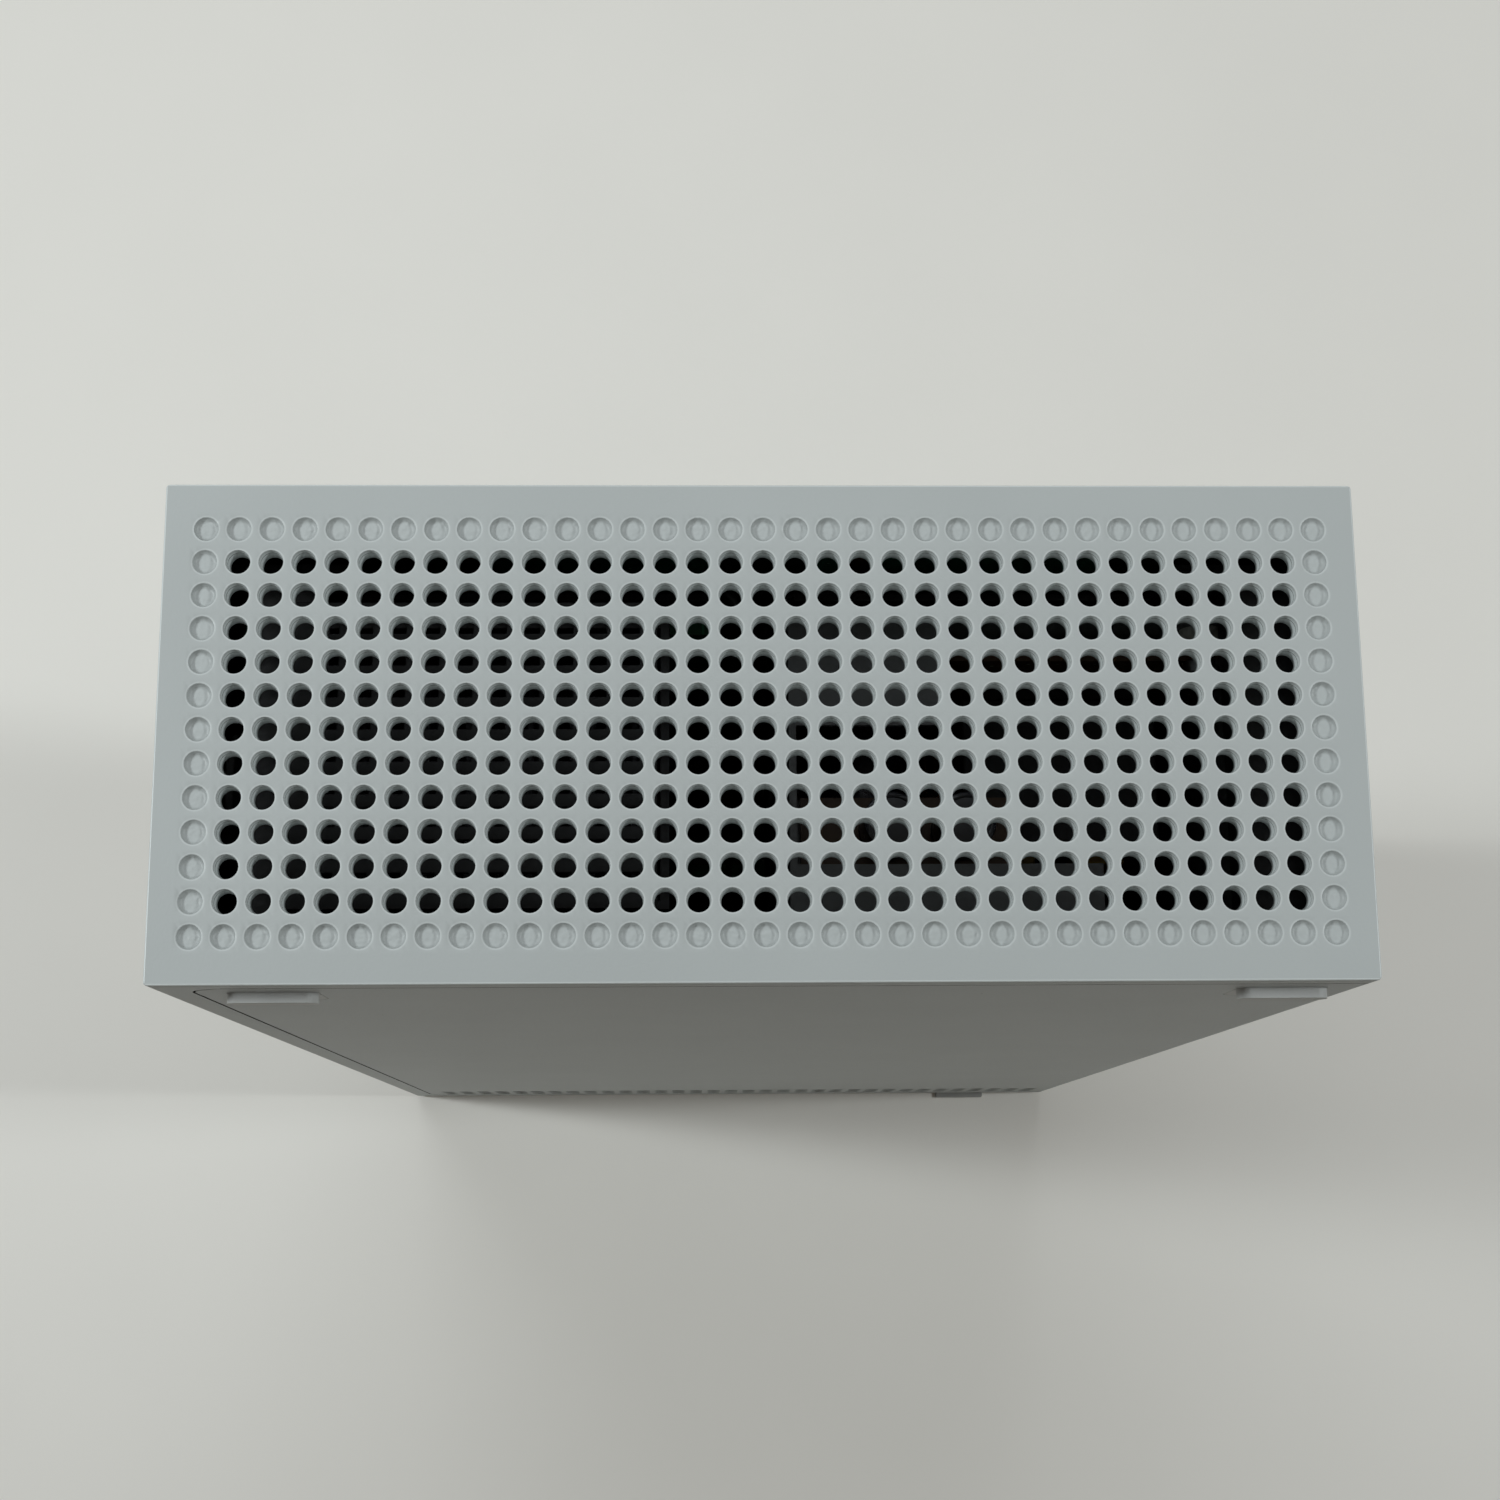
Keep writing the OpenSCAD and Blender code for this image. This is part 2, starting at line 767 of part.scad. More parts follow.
module fan_lead() {
    color([0.1, 0.1, 0.1])
    lead([[air_x + 20.9, 12, 131], [-10, 12.4, 127], [-7, 13.4, 120], [-7, 14.6, 112],
          [-7, 14.8, 108.2]], 2);
    color([0.9, 0.9, 0.86])
    block([-11, -3], [board_face - 6, board_face], [102, 108]);
}

module fan_screws() {
    head = 1.6;
    color([0.2, 0.2, 0.2])
    for (sx = [-1, 1], sy = [-1, 1])
        translate([air_x + sx * fan_hole_span / 2, fan_y + sy * fan_hole_span / 2, 0]) {
            bar_z(0, 0, [fan_low - head, fan_low], screw_head_d);
            bar_z(0, 0, [fan_low - merge, duct_low + 2.6], screw_d);
        }
}

// ---- Main board ----

module main_board() {
    color([0.1, 0.32, 0.2])
    slab_xz([board_face, board_back])
        difference() {
            polygon([[board_left, board_low], [board_right, board_low],
                     [board_right, board_step_z], [board_step_x, board_step_z],
                     [board_step_x, board_high], [board_left, board_high]]);
            for (place = foot_places)
                translate(place)
                    square(leg_w + 2, center = true);
            for (place = board_screw_places)
                translate(place)
                    circle(d = bore_d + 0.2);
            for (z = sink_screw_places)
                translate([air_x, z])
                    circle(d = bore_d);
        }
}

module chip(x, z, w, h, t) {
    block([x - w / 2, x + w / 2], [board_face - t, board_face], [z - h / 2, z + h / 2]);
}

module memory_chips() {
    color([0.13, 0.13, 0.14]) {
        chip(-2, 52, 14, 10, 1.1);
        chip(-2, 66, 14, 10, 1.1);
        chip(16, 59, 12, 18, 1.2);
        chip(16, 34, 13, 13, 1.4);
        chip(-40, 30, 10, 10, 1.2);
    }
}

module board_coils() {
    // Isolation transformers behind the network sockets
    color([0.15, 0.15, 0.16])
    for (z = [wan_z, lan_z - 21, lan_z, lan_z + 21])
        chip(44, z, 9, 16, 6);
    // Power inductors
    color([0.35, 0.36, 0.38])
    for (place = [[-34, 112], [-20, 112], [28, 112]])
        difference() {
            chip(place[0], place[1], 10, 10, 5);
            bar_y(place[0], [board_face - 6, board_face - 4.4], place[1], 7);
        }
}

module board_capacitors() {
    color([0.2, 0.2, 0.24])
    for (place = [[12, 100], [12, 112], [12, 124], [-50, 112], [-50, 100]])
        difference() {
            bar_y(place[0], [board_face - 12, board_face], place[1], 8);
            bar_y(place[0], [board_face - 13, board_face - 11.6], place[1], 6.4);
        }
}

module radio_card() {
    // Card on its edge connector and two spacers
    color([0.1, 0.28, 0.38])
    block([-60, -16], [board_face - 4, board_face - 2.8], [48, 92]);
    color([0.15, 0.15, 0.16])
    difference() {
        union() {
            block([-58, -18], [board_face - 5, board_face], [42, 47.9]);
            for (x = [-56, -20])
                bar_y(x, [board_face - 2.8, board_face], 88, 4);
        }
        block([-57, -19], [board_face - 4.1, board_face - 2.7], [44, 49]);
    }
    // Coaxial sockets
    color([0.8, 0.68, 0.4])
    for (z = [56, 64, 72, 80])
        bar_y(-22, [board_face - 5, board_face - 4], z, 2.6);
}

module radio_shield() {
    color([0.7, 0.71, 0.72])
    difference() {
        block([-57, -28], [board_face - 6.6, board_face - 4], [52, 86]);
        block([-56.7, -28.3], [board_face - 6.3, board_face - 3], [52.3, 85.7]);
        for (column = [0:6], row = [0:8])
            bar_y(-53.5 + column * 3.7, [board_face - 8, board_face - 5], 54.5 + row * 3.7, 1.6);
    }
}

module antenna_plates() {
    color([0.12, 0.3, 0.22]) {
        block([in_left, in_left + 1], [-12, 12], [58, 108]);
        block([in_left, in_left + 1], [-12, 12], [126, 176]);
        block([-46, -6], [in_back - 1, in_back], [222, 262]);
        block([8, 48], [in_back - 1, in_back], [222, 262]);
    }
    // Copper radiators, proud of the boards
    color([0.72, 0.45, 0.2]) {
        for (z = [58, 126]) {
            block([in_left + 1, in_left + 1.1], [-9, -5], [z + 6, z + 44]);
            block([in_left + 1, in_left + 1.1], [-5, 8], [z + 6, z + 10]);
        }
        for (x = [-46, 8]) {
            block([x + 4, x + 8], [in_back - 1.1, in_back - 1], [228, 256]);
            block([x + 8, x + 34], [in_back - 1.1, in_back - 1], [228, 232]);
        }
    }
}

module antenna_leads() {
    socket_y = board_face - 5.3;
    color([0.08, 0.08, 0.08]) {
        lead([[in_left + 2, 2, 74], [-66, 3, 72], [-60, 5, 66], [-46, 7, 60], [-30, 8, 57],
              [-23, 10, 56], [-22, 12, 56], [-22, socket_y, 56]], 1.3);
        lead([[in_left + 2, 2, 142], [-67, 1, 136], [-65, 0, 122], [-60, 2, 106],
              [-46, 6, 92], [-31, 8, 83], [-23, 10, 80], [-22, 12, 80],
              [-22, socket_y, 80]], 1.3);
        lead([[-10, in_back - 2, 240], [-4, 26, 246], [-1.5, 20, 240], [-1.5, 12, 224],
              [-2, 6, 190], [-2, 4, 150], [-4, 3, 112], [-12, 6, 92], [-20, 9, 76],
              [-22, 12, 72], [-22, socket_y, 72]], 1.3);
        lead([[12, in_back - 2, 240], [3, 26.4, 240], [1.5, 20, 232], [1.5, 12, 216],
              [1.5, 4, 186], [1, -1, 148], [-2, -1, 110], [-10, 3, 84], [-19, 8, 67],
              [-22, 11.5, 64], [-22, socket_y, 64]], 1.3);
    }
}

// ---- Power supply ----

module supply_case() {
    // Folded sheet: back, left, right and bottom walls, two top strips and a shelf
    color([0.2, 0.21, 0.23])
    difference() {
        union() {
            block([supply_left, supply_right], [supply_back - sheet_t, supply_back],
                  [supply_low, supply_high]);
            for (x = [supply_left, supply_right - sheet_t])
                block([x, x + sheet_t], [supply_front, supply_back], [supply_low, supply_high]);
            block([supply_left, supply_right], [supply_front, supply_back],
                  [supply_low, supply_low + sheet_t]);
            block([supply_left, 26], [6, supply_back], [supply_high - sheet_t, supply_high]);
            block([supply_left, 46], [-20, -13], [supply_high - sheet_t, supply_high]);
            block([supply_left, 36], [filter_y - 5, filter_y + 5],
                  [filter_z - sheet_t, filter_z]);
        }
        for (place = supply_screw_places)
            bar_y(place[0], [supply_back - 3, supply_back + 1], place[1], bore_d + 0.2);
        block([supply_right - 3, supply_right + 1],
              [inlet_y - inlet_h / 2 - 0.2, inlet_y + inlet_h / 2 + 0.2],
              [inlet_z - inlet_w / 2 - 0.2, inlet_z + inlet_w / 2 + 0.2]);
        for (column = [0:8], row = [0:5])
            bar_z(14 + column * 5.5, -18 + row * 5.5, [supply_low - 1, supply_low + 2], 3);
        for (row = [0:11], column = [0:5])
            bar_x([supply_left - 1, supply_left + 2], -18 + column * 5.5,
                  supply_low + 16 + row * 6, 3);
        // Notch for the low-voltage leads
        block([16, 28], [supply_back - 10, supply_back - 5],
              [supply_low - 1, supply_low + 2]);
    }
}

module supply_board() {
    color([0.45, 0.36, 0.18])
    slab_xz([supply_board_y - board_t, supply_board_y])
        difference() {
            translate([supply_left + 2, supply_low + 3])
                square([supply_right - supply_left - 4, supply_high - supply_low - 8]);
            for (place = supply_screw_places)
                translate(place)
                    circle(d = bore_d + 0.2);
        }
    // Small output filter board on the shelf near the top
    color([0.45, 0.36, 0.18])
    block([supply_left + 2, 36], [filter_y - 5, filter_y + 5], [filter_z, filter_z + board_t]);
    // Spacers between the board and the case
    color([0.8, 0.8, 0.78])
    for (place = supply_screw_places)
        difference() {
            bar_y(place[0], [supply_board_y, supply_back - sheet_t], place[1], 6);
            bar_y(place[0], [supply_board_y - 1, supply_back], place[1], bore_d + 0.2);
        }
}

module supply_transformer() {
    top = supply_board_y - board_t;
    core_y = [top - 24, top - 2];
    // Ferrite core with the winding between its legs
    color([0.22, 0.22, 0.23])
    difference() {
        block([30, 58], core_y, [206, 232]);
        block([34, 41], [core_y[0] - 1, core_y[1] + 1], [211, 227]);
        block([47, 54], [core_y[0] - 1, core_y[1] + 1], [211, 227]);
    }
    color([0.82, 0.7, 0.28]) {
        block([34.2, 40.8], [core_y[0] - 1.5, core_y[1]], [211.2, 226.8]);
        block([47.2, 53.8], [core_y[0] - 1.5, core_y[1]], [211.2, 226.8]);
    }
    color([0.15, 0.15, 0.15])
    for (z = [207.5, 229])
        block([32, 56], [core_y[1], top], [z, z + 1.5]);
    // Common-mode choke near the inlet
    color([0.2, 0.28, 0.22])
    difference() {
        bar_y(22, [top - 9, top], 190, 18);
        bar_y(22, [top - 10, top - 2], 190, 8);
    }
}

module supply_capacitors() {
    top = supply_board_y - board_t;
    color([0.1, 0.1, 0.14]) {
        for (place = [[16, 232, 10, 20], [16, 218, 10, 20], [52, 190, 16, 28]])
            difference() {
                bar_y(place[0], [top - place[3], top], place[1], place[2]);
                bar_y(place[0], [top - place[3] - 1, top - place[3] + 0.5], place[1],
                      place[2] - 2);
            }
        for (x = [18, 28])
            difference() {
                bar_z(x, filter_y, [filter_z + board_t, supply_high - 0.6], 8);
                bar_z(x, filter_y, [supply_high - 1, supply_high], 6.6);
            }
    }
    color([0.75, 0.68, 0.2])
    block([30, 44], [top - 12, top], [172, 181]);
}

module supply_leads() {
    top = supply_board_y - board_t;
    // Mains leads from the inlet's tags to the supply board
    color([0.36, 0.2, 0.13])
    lead([[58, 0, inlet_z + 4.3], [54, 1, inlet_z + 4.6], [49, 6, inlet_z + 1],
          [47, 11, inlet_z - 1], [47, top - 0.1, inlet_z - 1.2]], 2.2);
    color([0.15, 0.25, 0.45])
    lead([[58, 0, inlet_z - 4.3], [54, 1, inlet_z - 4.6], [49, 6, inlet_z - 6],
          [47, 11, inlet_z - 7], [47, top - 0.1, inlet_z - 7.2]], 2.2);
    // Low-voltage pair to the main board, with its plug
    color([0.5, 0.18, 0.12])
    lead([[20, top - 0.1, 162], [20, 13, 161.4], [20, 12.2, 157], [20, 14.2, 152],
          [20, 16.2, 148], [20, 16.4, 140.2]], 1.8);
    color([0.1, 0.1, 0.1])
    lead([[24, top - 0.1, 162], [24, 13, 161.4], [24, 12.2, 157], [24, 14.2, 152],
          [24, 16.2, 148], [24, 16.4, 140.2]], 1.8);
    color([0.9, 0.9, 0.86])
    block([17, 27], [board_face - 6, board_face], [132, 140]);
}

// ---- Sockets ----

function lan_width() = (lan_count - 1) * lan_pitch + jack_w;
function lan_places() = [
    for (i = [0:lan_count - 1]) lan_z + (i - (lan_count - 1) / 2) * lan_pitch
];

// The space that a network plug goes into, with the step for its latch
module jack_opening(z) {
    block([socket_face - jack_open_l, socket_face + 1],
          [jack_open_y, jack_open_y + jack_open_h],
          [z - jack_open_w / 2, z + jack_open_w / 2]);
    block([socket_face - jack_open_l + 3, socket_face + 1],
          [jack_open_y - latch_h, jack_open_y + 1], [z - latch_w / 2, z + latch_w / 2]);
}

module wan_port() {
    color([0.85, 0.7, 0.2])
    difference() {
        block([socket_face - jack_l, socket_face], [jack_y, board_face],
              [wan_z - jack_w / 2, wan_z + jack_w / 2]);
        jack_opening(wan_z);
    }
}

module lan_port_block() {
    color([0.3, 0.31, 0.32])
    difference() {
        block([socket_face - jack_l, socket_face], [jack_y, board_face],
              [lan_z - lan_width() / 2, lan_z + lan_width() / 2]);
        for (z = lan_places())
            jack_opening(z);
    }
}

// Eight sprung wires in each network socket
module jack_contacts() {
    color([0.85, 0.68, 0.3])
    for (z = concat([wan_z], lan_places()), i = [0:7])
        translate([socket_face - 14, jack_open_y + jack_open_h - 1.9,
                   z + (i - 3.5) * contact_pitch])
            rotate([0, 0, 10])
                cube([9, 0.3, 0.4]);
}

module usb_port() {
    color([0.75, 0.76, 0.77])
    difference() {
        block([socket_face - usb_l, socket_face], [board_face - usb_h, board_face],
              [usb_z - usb_w / 2, usb_z + usb_w / 2]);
        block([socket_face - usb_l + 1, socket_face + 1],
              [board_face - usb_h + 0.35, board_face - 0.35],
              [usb_z - usb_w / 2 + 0.35, usb_z + usb_w / 2 - 0.35]);
    }
    color([0.92, 0.92, 0.9])
    block([socket_face - usb_l + 0.95, socket_face - 1.2],
          [board_face - usb_h + 0.9, board_face - usb_h + 2.7],
          [usb_z - 5.5, usb_z + 5.5]);
}

module mains_inlet() {
    color([0.12, 0.12, 0.13])
    difference() {
        union() {
            block([60, socket_face], [inlet_y - inlet_h / 2, inlet_y + inlet_h / 2],
                  [inlet_z - inlet_w / 2, inlet_z + inlet_w / 2]);
            // Collar against the outside of the supply case
            block([supply_right, supply_right + 1.6],
                  [inlet_y - inlet_h / 2 - 2, inlet_y + inlet_h / 2 + 2],
                  [inlet_z - inlet_w / 2 - 2, inlet_z + inlet_w / 2 + 2]);
        }
        for (side = [-1, 1]) {
            bar_x([socket_face - inlet_depth, socket_face + 1], inlet_y,
                  inlet_z + side * pin_span / 2, 9.4);
            bar_x([59, socket_face], inlet_y, inlet_z + side * pin_span / 2, pin_d);
        }
        block([socket_face - inlet_depth, socket_face + 1], [inlet_y - 3.6, inlet_y + 3.6],
              [inlet_z - pin_span / 2, inlet_z + pin_span / 2]);
    }
}

module inlet_pins() {
    color([0.8, 0.8, 0.8])
    for (side = [-1, 1]) {
        bar_x([59.5, socket_face - 1.2], inlet_y, inlet_z + side * pin_span / 2, pin_d);
        block([58.3, 60], [inlet_y - 1.4, inlet_y + 1.4],
              [inlet_z + side * pin_span / 2 - 1.4, inlet_z + side * pin_span / 2 + 1.4]);
    }
}

module reset_switch() {
    color([0.75, 0.75, 0.76])
    difference() {
        block([61, 68.5], [board_face - 7.2, board_face], [reset_z - 3.6, reset_z + 3.6]);
        bar_x([63, 69], reset_y, reset_z, reset_d + 2 * run_gap);
    }
}

module reset_button() {
    color([0.2, 0.2, 0.2])
    bar_x([64.2, right_x - 1.2], reset_y, reset_z, reset_d);
}

// ---- Controls ----

module front_board() {
    color([0.1, 0.32, 0.2])
    slab_yz([front_board_x, front_board_x + front_board_t])
        difference() {
            translate([-front_board_half, front_board_low])
                square([2 * front_board_half, front_board_high - front_board_low]);
            for (place = front_screw_places)
                translate(place)
                    circle(d = bore_d + 0.2);
        }
}

module button_switches() {
    color([0.7, 0.7, 0.72])
    for (z = [power_z, pair_z])
        block([front_board_x - switch_h, front_board_x], [-3, 3], [z - 3, z + 3]);
    color([0.15, 0.15, 0.15])
    for (z = [power_z, pair_z])
        bar_x([front_board_x - switch_h - switch_tip_h, front_board_x - switch_h], 0, z, 3.2);
}

// Push button with a retaining flange behind the wall and a stem to its switch
module push_button(d, z) {
    face_x = left_x + 0.2;
    flange_x = in_left + 0.2;
    union() {
        bar_x([face_x, flange_x + merge], 0, z, d);
        bar_x([flange_x, flange_x + button_flange_t], 0, z, d + 2 * button_flange);
        bar_x([flange_x, button_end], 0, z, 3.6);
    }
}

module power_button() {
    color([0.86, 0.88, 0.88])
    push_button(power_d, power_z);
}

module pair_button() {
    color([0.86, 0.88, 0.88])
    push_button(pair_d, pair_z);
}

module status_led() {
    color([0.95, 0.95, 0.85])
    block([front_board_x - 1.4, front_board_x], [-1.6, 1.6], [light_z - 1.2, light_z + 1.2]);
}

module light_pipe() {
    color([0.95, 0.97, 1, 0.6]) {
        bar_x([left_x + 0.1, front_board_x - 1.6], 0, light_z, light_d);
        bar_x([in_left, in_left + 1], 0, light_z, light_d + 2);
    }
}

module front_cable() {
    connector_x = front_board_x + front_board_t;
    color([0.9, 0.9, 0.86]) {
        block([connector_x, connector_x + 4], [-1, 9], [208, 213]);
        block([-66, -58], [board_face - 5, board_face], [160, 165]);
    }
    color([0.75, 0.76, 0.78])
    for (i = [0:2])
        lead([[connector_x + 2, 2 + 2 * i, 207.9], [connector_x + 2, 2.4 + 2 * i, 202],
              [connector_x + 1.5, 5 + 1.6 * i, 190], [-62 + 0.6 * i, 9 + i, 178],
              [-64 + 2 * i, 14.5, 170], [-64 + 2 * i, 16.6, 165.1]], 1.1);
}

// ---- Screws ----

module cover_screws() {
    color([0.55, 0.55, 0.56])
    for (place = foot_places)
        screw_y(place[0], in_face + 0.1, place[1], 11, 1.8);
}

module chassis_screws() {
    color([0.55, 0.55, 0.56])
    for (place = chassis_screw_places)
        screw_y(place[0], chassis_front, place[1], 6);
}

module board_screws() {
    color([0.6, 0.6, 0.6])
    for (place = board_screw_places)
        screw_y(place[0], board_face, place[1], 5);
}

module supply_screws() {
    color([0.6, 0.6, 0.6])
    for (place = supply_screw_places)
        screw_y(place[0], supply_board_y - board_t, place[1], 7.6);
}

module front_board_screws() {
    color([0.6, 0.6, 0.6])
    for (place = front_screw_places) {
        bar_x([front_board_x + front_board_t, front_board_x + front_board_t + 1.6],
              place[0], place[1], 4.6);
        bar_x([front_board_x - 5, front_board_x + front_board_t + merge],
              place[0], place[1], 2.2);
    }
}

main_shell();
side_cover();
end_grille();
side_feet();
base_pads();
chassis();
exhaust_grille();
air_duct();
heat_sink();
thermal_pad();
processor();
heat_sink_screws();
fan_frame();
fan_rotor();
fan_lead();
fan_screws();
main_board();
memory_chips();
board_coils();
board_capacitors();
radio_card();
radio_shield();
antenna_plates();
antenna_leads();
supply_case();
supply_board();
supply_transformer();
supply_capacitors();
supply_leads();
mains_inlet();
inlet_pins();
wan_port();
lan_port_block();
usb_port();
jack_contacts();
reset_button();
reset_switch();
front_board();
button_switches();
status_led();
light_pipe();
front_cable();
power_button();
pair_button();
cover_screws();
chassis_screws();
board_screws();
supply_screws();
front_board_screws();
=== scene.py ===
import math
import random

import bmesh
import bpy
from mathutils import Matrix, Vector


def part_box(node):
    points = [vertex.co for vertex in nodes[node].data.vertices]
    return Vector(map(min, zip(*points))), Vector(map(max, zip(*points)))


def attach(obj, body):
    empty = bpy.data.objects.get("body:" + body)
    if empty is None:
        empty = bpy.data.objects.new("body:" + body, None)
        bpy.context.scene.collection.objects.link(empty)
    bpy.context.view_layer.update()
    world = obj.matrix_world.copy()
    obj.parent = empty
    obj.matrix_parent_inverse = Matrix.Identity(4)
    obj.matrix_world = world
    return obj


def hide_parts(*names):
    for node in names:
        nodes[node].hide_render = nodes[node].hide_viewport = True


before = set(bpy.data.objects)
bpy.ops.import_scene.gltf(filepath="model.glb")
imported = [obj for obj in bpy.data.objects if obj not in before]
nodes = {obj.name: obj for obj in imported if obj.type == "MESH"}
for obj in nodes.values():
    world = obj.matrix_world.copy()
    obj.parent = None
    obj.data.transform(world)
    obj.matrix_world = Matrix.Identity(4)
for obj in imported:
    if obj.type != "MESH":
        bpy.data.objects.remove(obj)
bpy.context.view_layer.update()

# The visual model of an upright router, built round its CAD frame. Lengths are in metres, apart
# from those that a comment or a docstring gives in mm.

MM = 0.001
scene = bpy.context.scene
random.seed(7)


# ---- Sizes of the case, which its shapes and its materials share ----

WALL_T = 2.4 * MM
COVER_GAP = 0.35 * MM
PLATE_T = 2.8 * MM
FLANGE_T = 1.1 * MM
PLUG_GAP = 0.15 * MM
CORNER_R = 0.5 * MM
EDGE_R = 0.25 * MM
SEAM_R = 0.15 * MM
FINE_R = 0.12 * MM

COLUMNS, ROWS = 35, 13
PITCH_X, PITCH_Y = 4.13 * MM, 4.3 * MM
GRID_X, GRID_Y = COLUMNS * PITCH_X / 2, ROWS * PITCH_Y / 2
MID_Y = sum(corner.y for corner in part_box("end_grille")) / 2
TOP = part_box("end_grille")[1].z
HOLE_R = 1.54 * MM
HOLE_LOW_R = 1.36 * MM
RIM_R = 0.1 * MM


# ---- Camera, floor and light ----

CAMERA_PLACE = (-0.0091, -0.05763, 0.54596)
CAMERA_TURN = (0.20217, -0.02524, -0.00722)
LENS, SENSOR_W = 53.44, 36
LAMP_SPREAD = 140
OVERHEAD_COLOUR = (0.93, 1.0, 1.04)
LAMP_COLOUR = (0.94, 1.0, 1.02)
ROOM_COLOUR = (1.0, 0.93, 0.84, 1)
ROOM_STRENGTH = 0.14
FLOOR_HALF = 6.0


def add_camera():
    """The view down on the perforated end, with no shift."""
    data = bpy.data.cameras.new("camera")
    data.sensor_width = SENSOR_W
    data.lens = LENS
    data.clip_start = 0.01
    camera = bpy.data.objects.new("camera", data)
    camera.location = CAMERA_PLACE
    camera.rotation_euler = CAMERA_TURN
    scene.collection.objects.link(camera)
    scene.camera = camera


def add_light(name, place, target, size, power, colour):
    """A rectangular soft light at place that faces target."""
    data = bpy.data.lights.new(name, "AREA")
    data.shape = "RECTANGLE"
    data.size, data.size_y = size
    data.energy = power
    data.color = colour
    data.spread = math.radians(LAMP_SPREAD)
    light = bpy.data.objects.new(name, data)
    light.location = place
    toward = Vector(target) - Vector(place)
    light.rotation_euler = toward.to_track_quat("-Z", "Y").to_euler()
    scene.collection.objects.link(light)


def light_scene():
    """A large soft light above, a small one at each side, and a dim warm room."""
    top = (0, 0, TOP)
    add_light("overhead", (-0.15, 0.6, 1.3), top, (0.8, 0.6), 2.35, OVERHEAD_COLOUR)
    behind = (0, 0.45, 0)
    add_light("left_lamp", (-0.632, 0.035, 0.8), behind, (0.09, 0.12), 2.55, LAMP_COLOUR)
    add_light("right_lamp", (0.632, -0.029, 0.8), behind, (0.03, 0.12), 1.75, LAMP_COLOUR)
    world = bpy.data.worlds.new("studio")
    world.use_nodes = True
    background = world.node_tree.nodes["Background"]
    background.inputs["Color"].default_value = ROOM_COLOUR
    background.inputs["Strength"].default_value = ROOM_STRENGTH
    scene.world = world
    scene.view_settings.view_transform = "Standard"


def build_floor():
    corners = [(-FLOOR_HALF, -FLOOR_HALF, 0), (FLOOR_HALF, -FLOOR_HALF, 0),
               (FLOOR_HALF, FLOOR_HALF, 0), (-FLOOR_HALF, FLOOR_HALF, 0)]
    floor = mesh_piece("floor", corners, [(0, 1, 2, 3)])
    surface = Surface("floor_laminate", (0.81, 0.785, 0.735), 0.55).vary(60 * MM, 0.01)
    surface.relief(0.6 * MM, 0.01 * MM)
    floor.data.materials.append(surface.finish())


# ---- Material building ----

def add(tree, kind, inputs=None, **settings):
    """One shader node, its settings, and its inputs as values or as sockets to link."""
    made = tree.nodes.new("ShaderNode" + kind)
    for name, value in settings.items():
        setattr(made, name, value)
    for name, value in (inputs or {}).items():
        if isinstance(value, bpy.types.NodeSocket):
            tree.links.new(value, made.inputs[name])
        else:
            made.inputs[name].default_value = value
    return made


def math_node(tree, operation, a, b):
    return add(tree, "Math", {0: a, 1: b}, operation=operation).outputs[0]


def mix_colours(tree, factor, a, b):
    made = add(tree, "Mix", {0: factor, 6: rgba(a), 7: rgba(b)}, data_type="RGBA")
    return made.outputs[2]


def mix_values(tree, factor, a, b):
    return add(tree, "Mix", {0: factor, 2: a, 3: b}, data_type="FLOAT").outputs[0]


def rgba(colour):
    if isinstance(colour, bpy.types.NodeSocket):
        return colour
    return (*colour[:3], 1.0)


def scaled(colour, factor):
    return tuple(min(1.0, part * factor) for part in colour)


def noise(tree, place, size, detail=2.0):
    """Noise whose features are about size across, from 0 to 1."""
    inputs = {"Vector": place, "Scale": 1 / size, "Detail": detail}
    return add(tree, "TexNoise", inputs).outputs["Fac"]


def spread(tree, value, low, high, to_low=0.0, to_high=1.0):
    """Takes the range from low to high to another, and holds what is outside it at the ends."""
    inputs = {"Value": value, "From Min": low, "From Max": high,
              "To Min": to_low, "To Max": to_high}
    return add(tree, "MapRange", inputs).outputs["Result"]


def bump(tree, height, distance, under=None):
    """The normal of a relief of some depth, on top of another relief if there is one."""
    inputs = {"Height": height, "Distance": distance, "Strength": 1.0}
    if under is not None:
        inputs["Normal"] = under
    return add(tree, "Bump", inputs).outputs["Normal"]


def stretched(tree, place, factors):
    """Places scaled along each axis, which stretches a pattern where the factor is below 1."""
    return add(tree, "Mapping", {"Vector": place, "Scale": factors}).outputs["Vector"]


def within(tree, place, low, high):
    """1 inside the box between two corners, 0 outside it."""
    parts = add(tree, "SeparateXYZ", {0: place}).outputs
    mask = None
    for axis in range(3):
        above = math_node(tree, "GREATER_THAN", parts[axis], low[axis])
        below = math_node(tree, "LESS_THAN", parts[axis], high[axis])
        step = math_node(tree, "MULTIPLY", above, below)
        mask = step if mask is None else math_node(tree, "MULTIPLY", mask, step)
    return mask


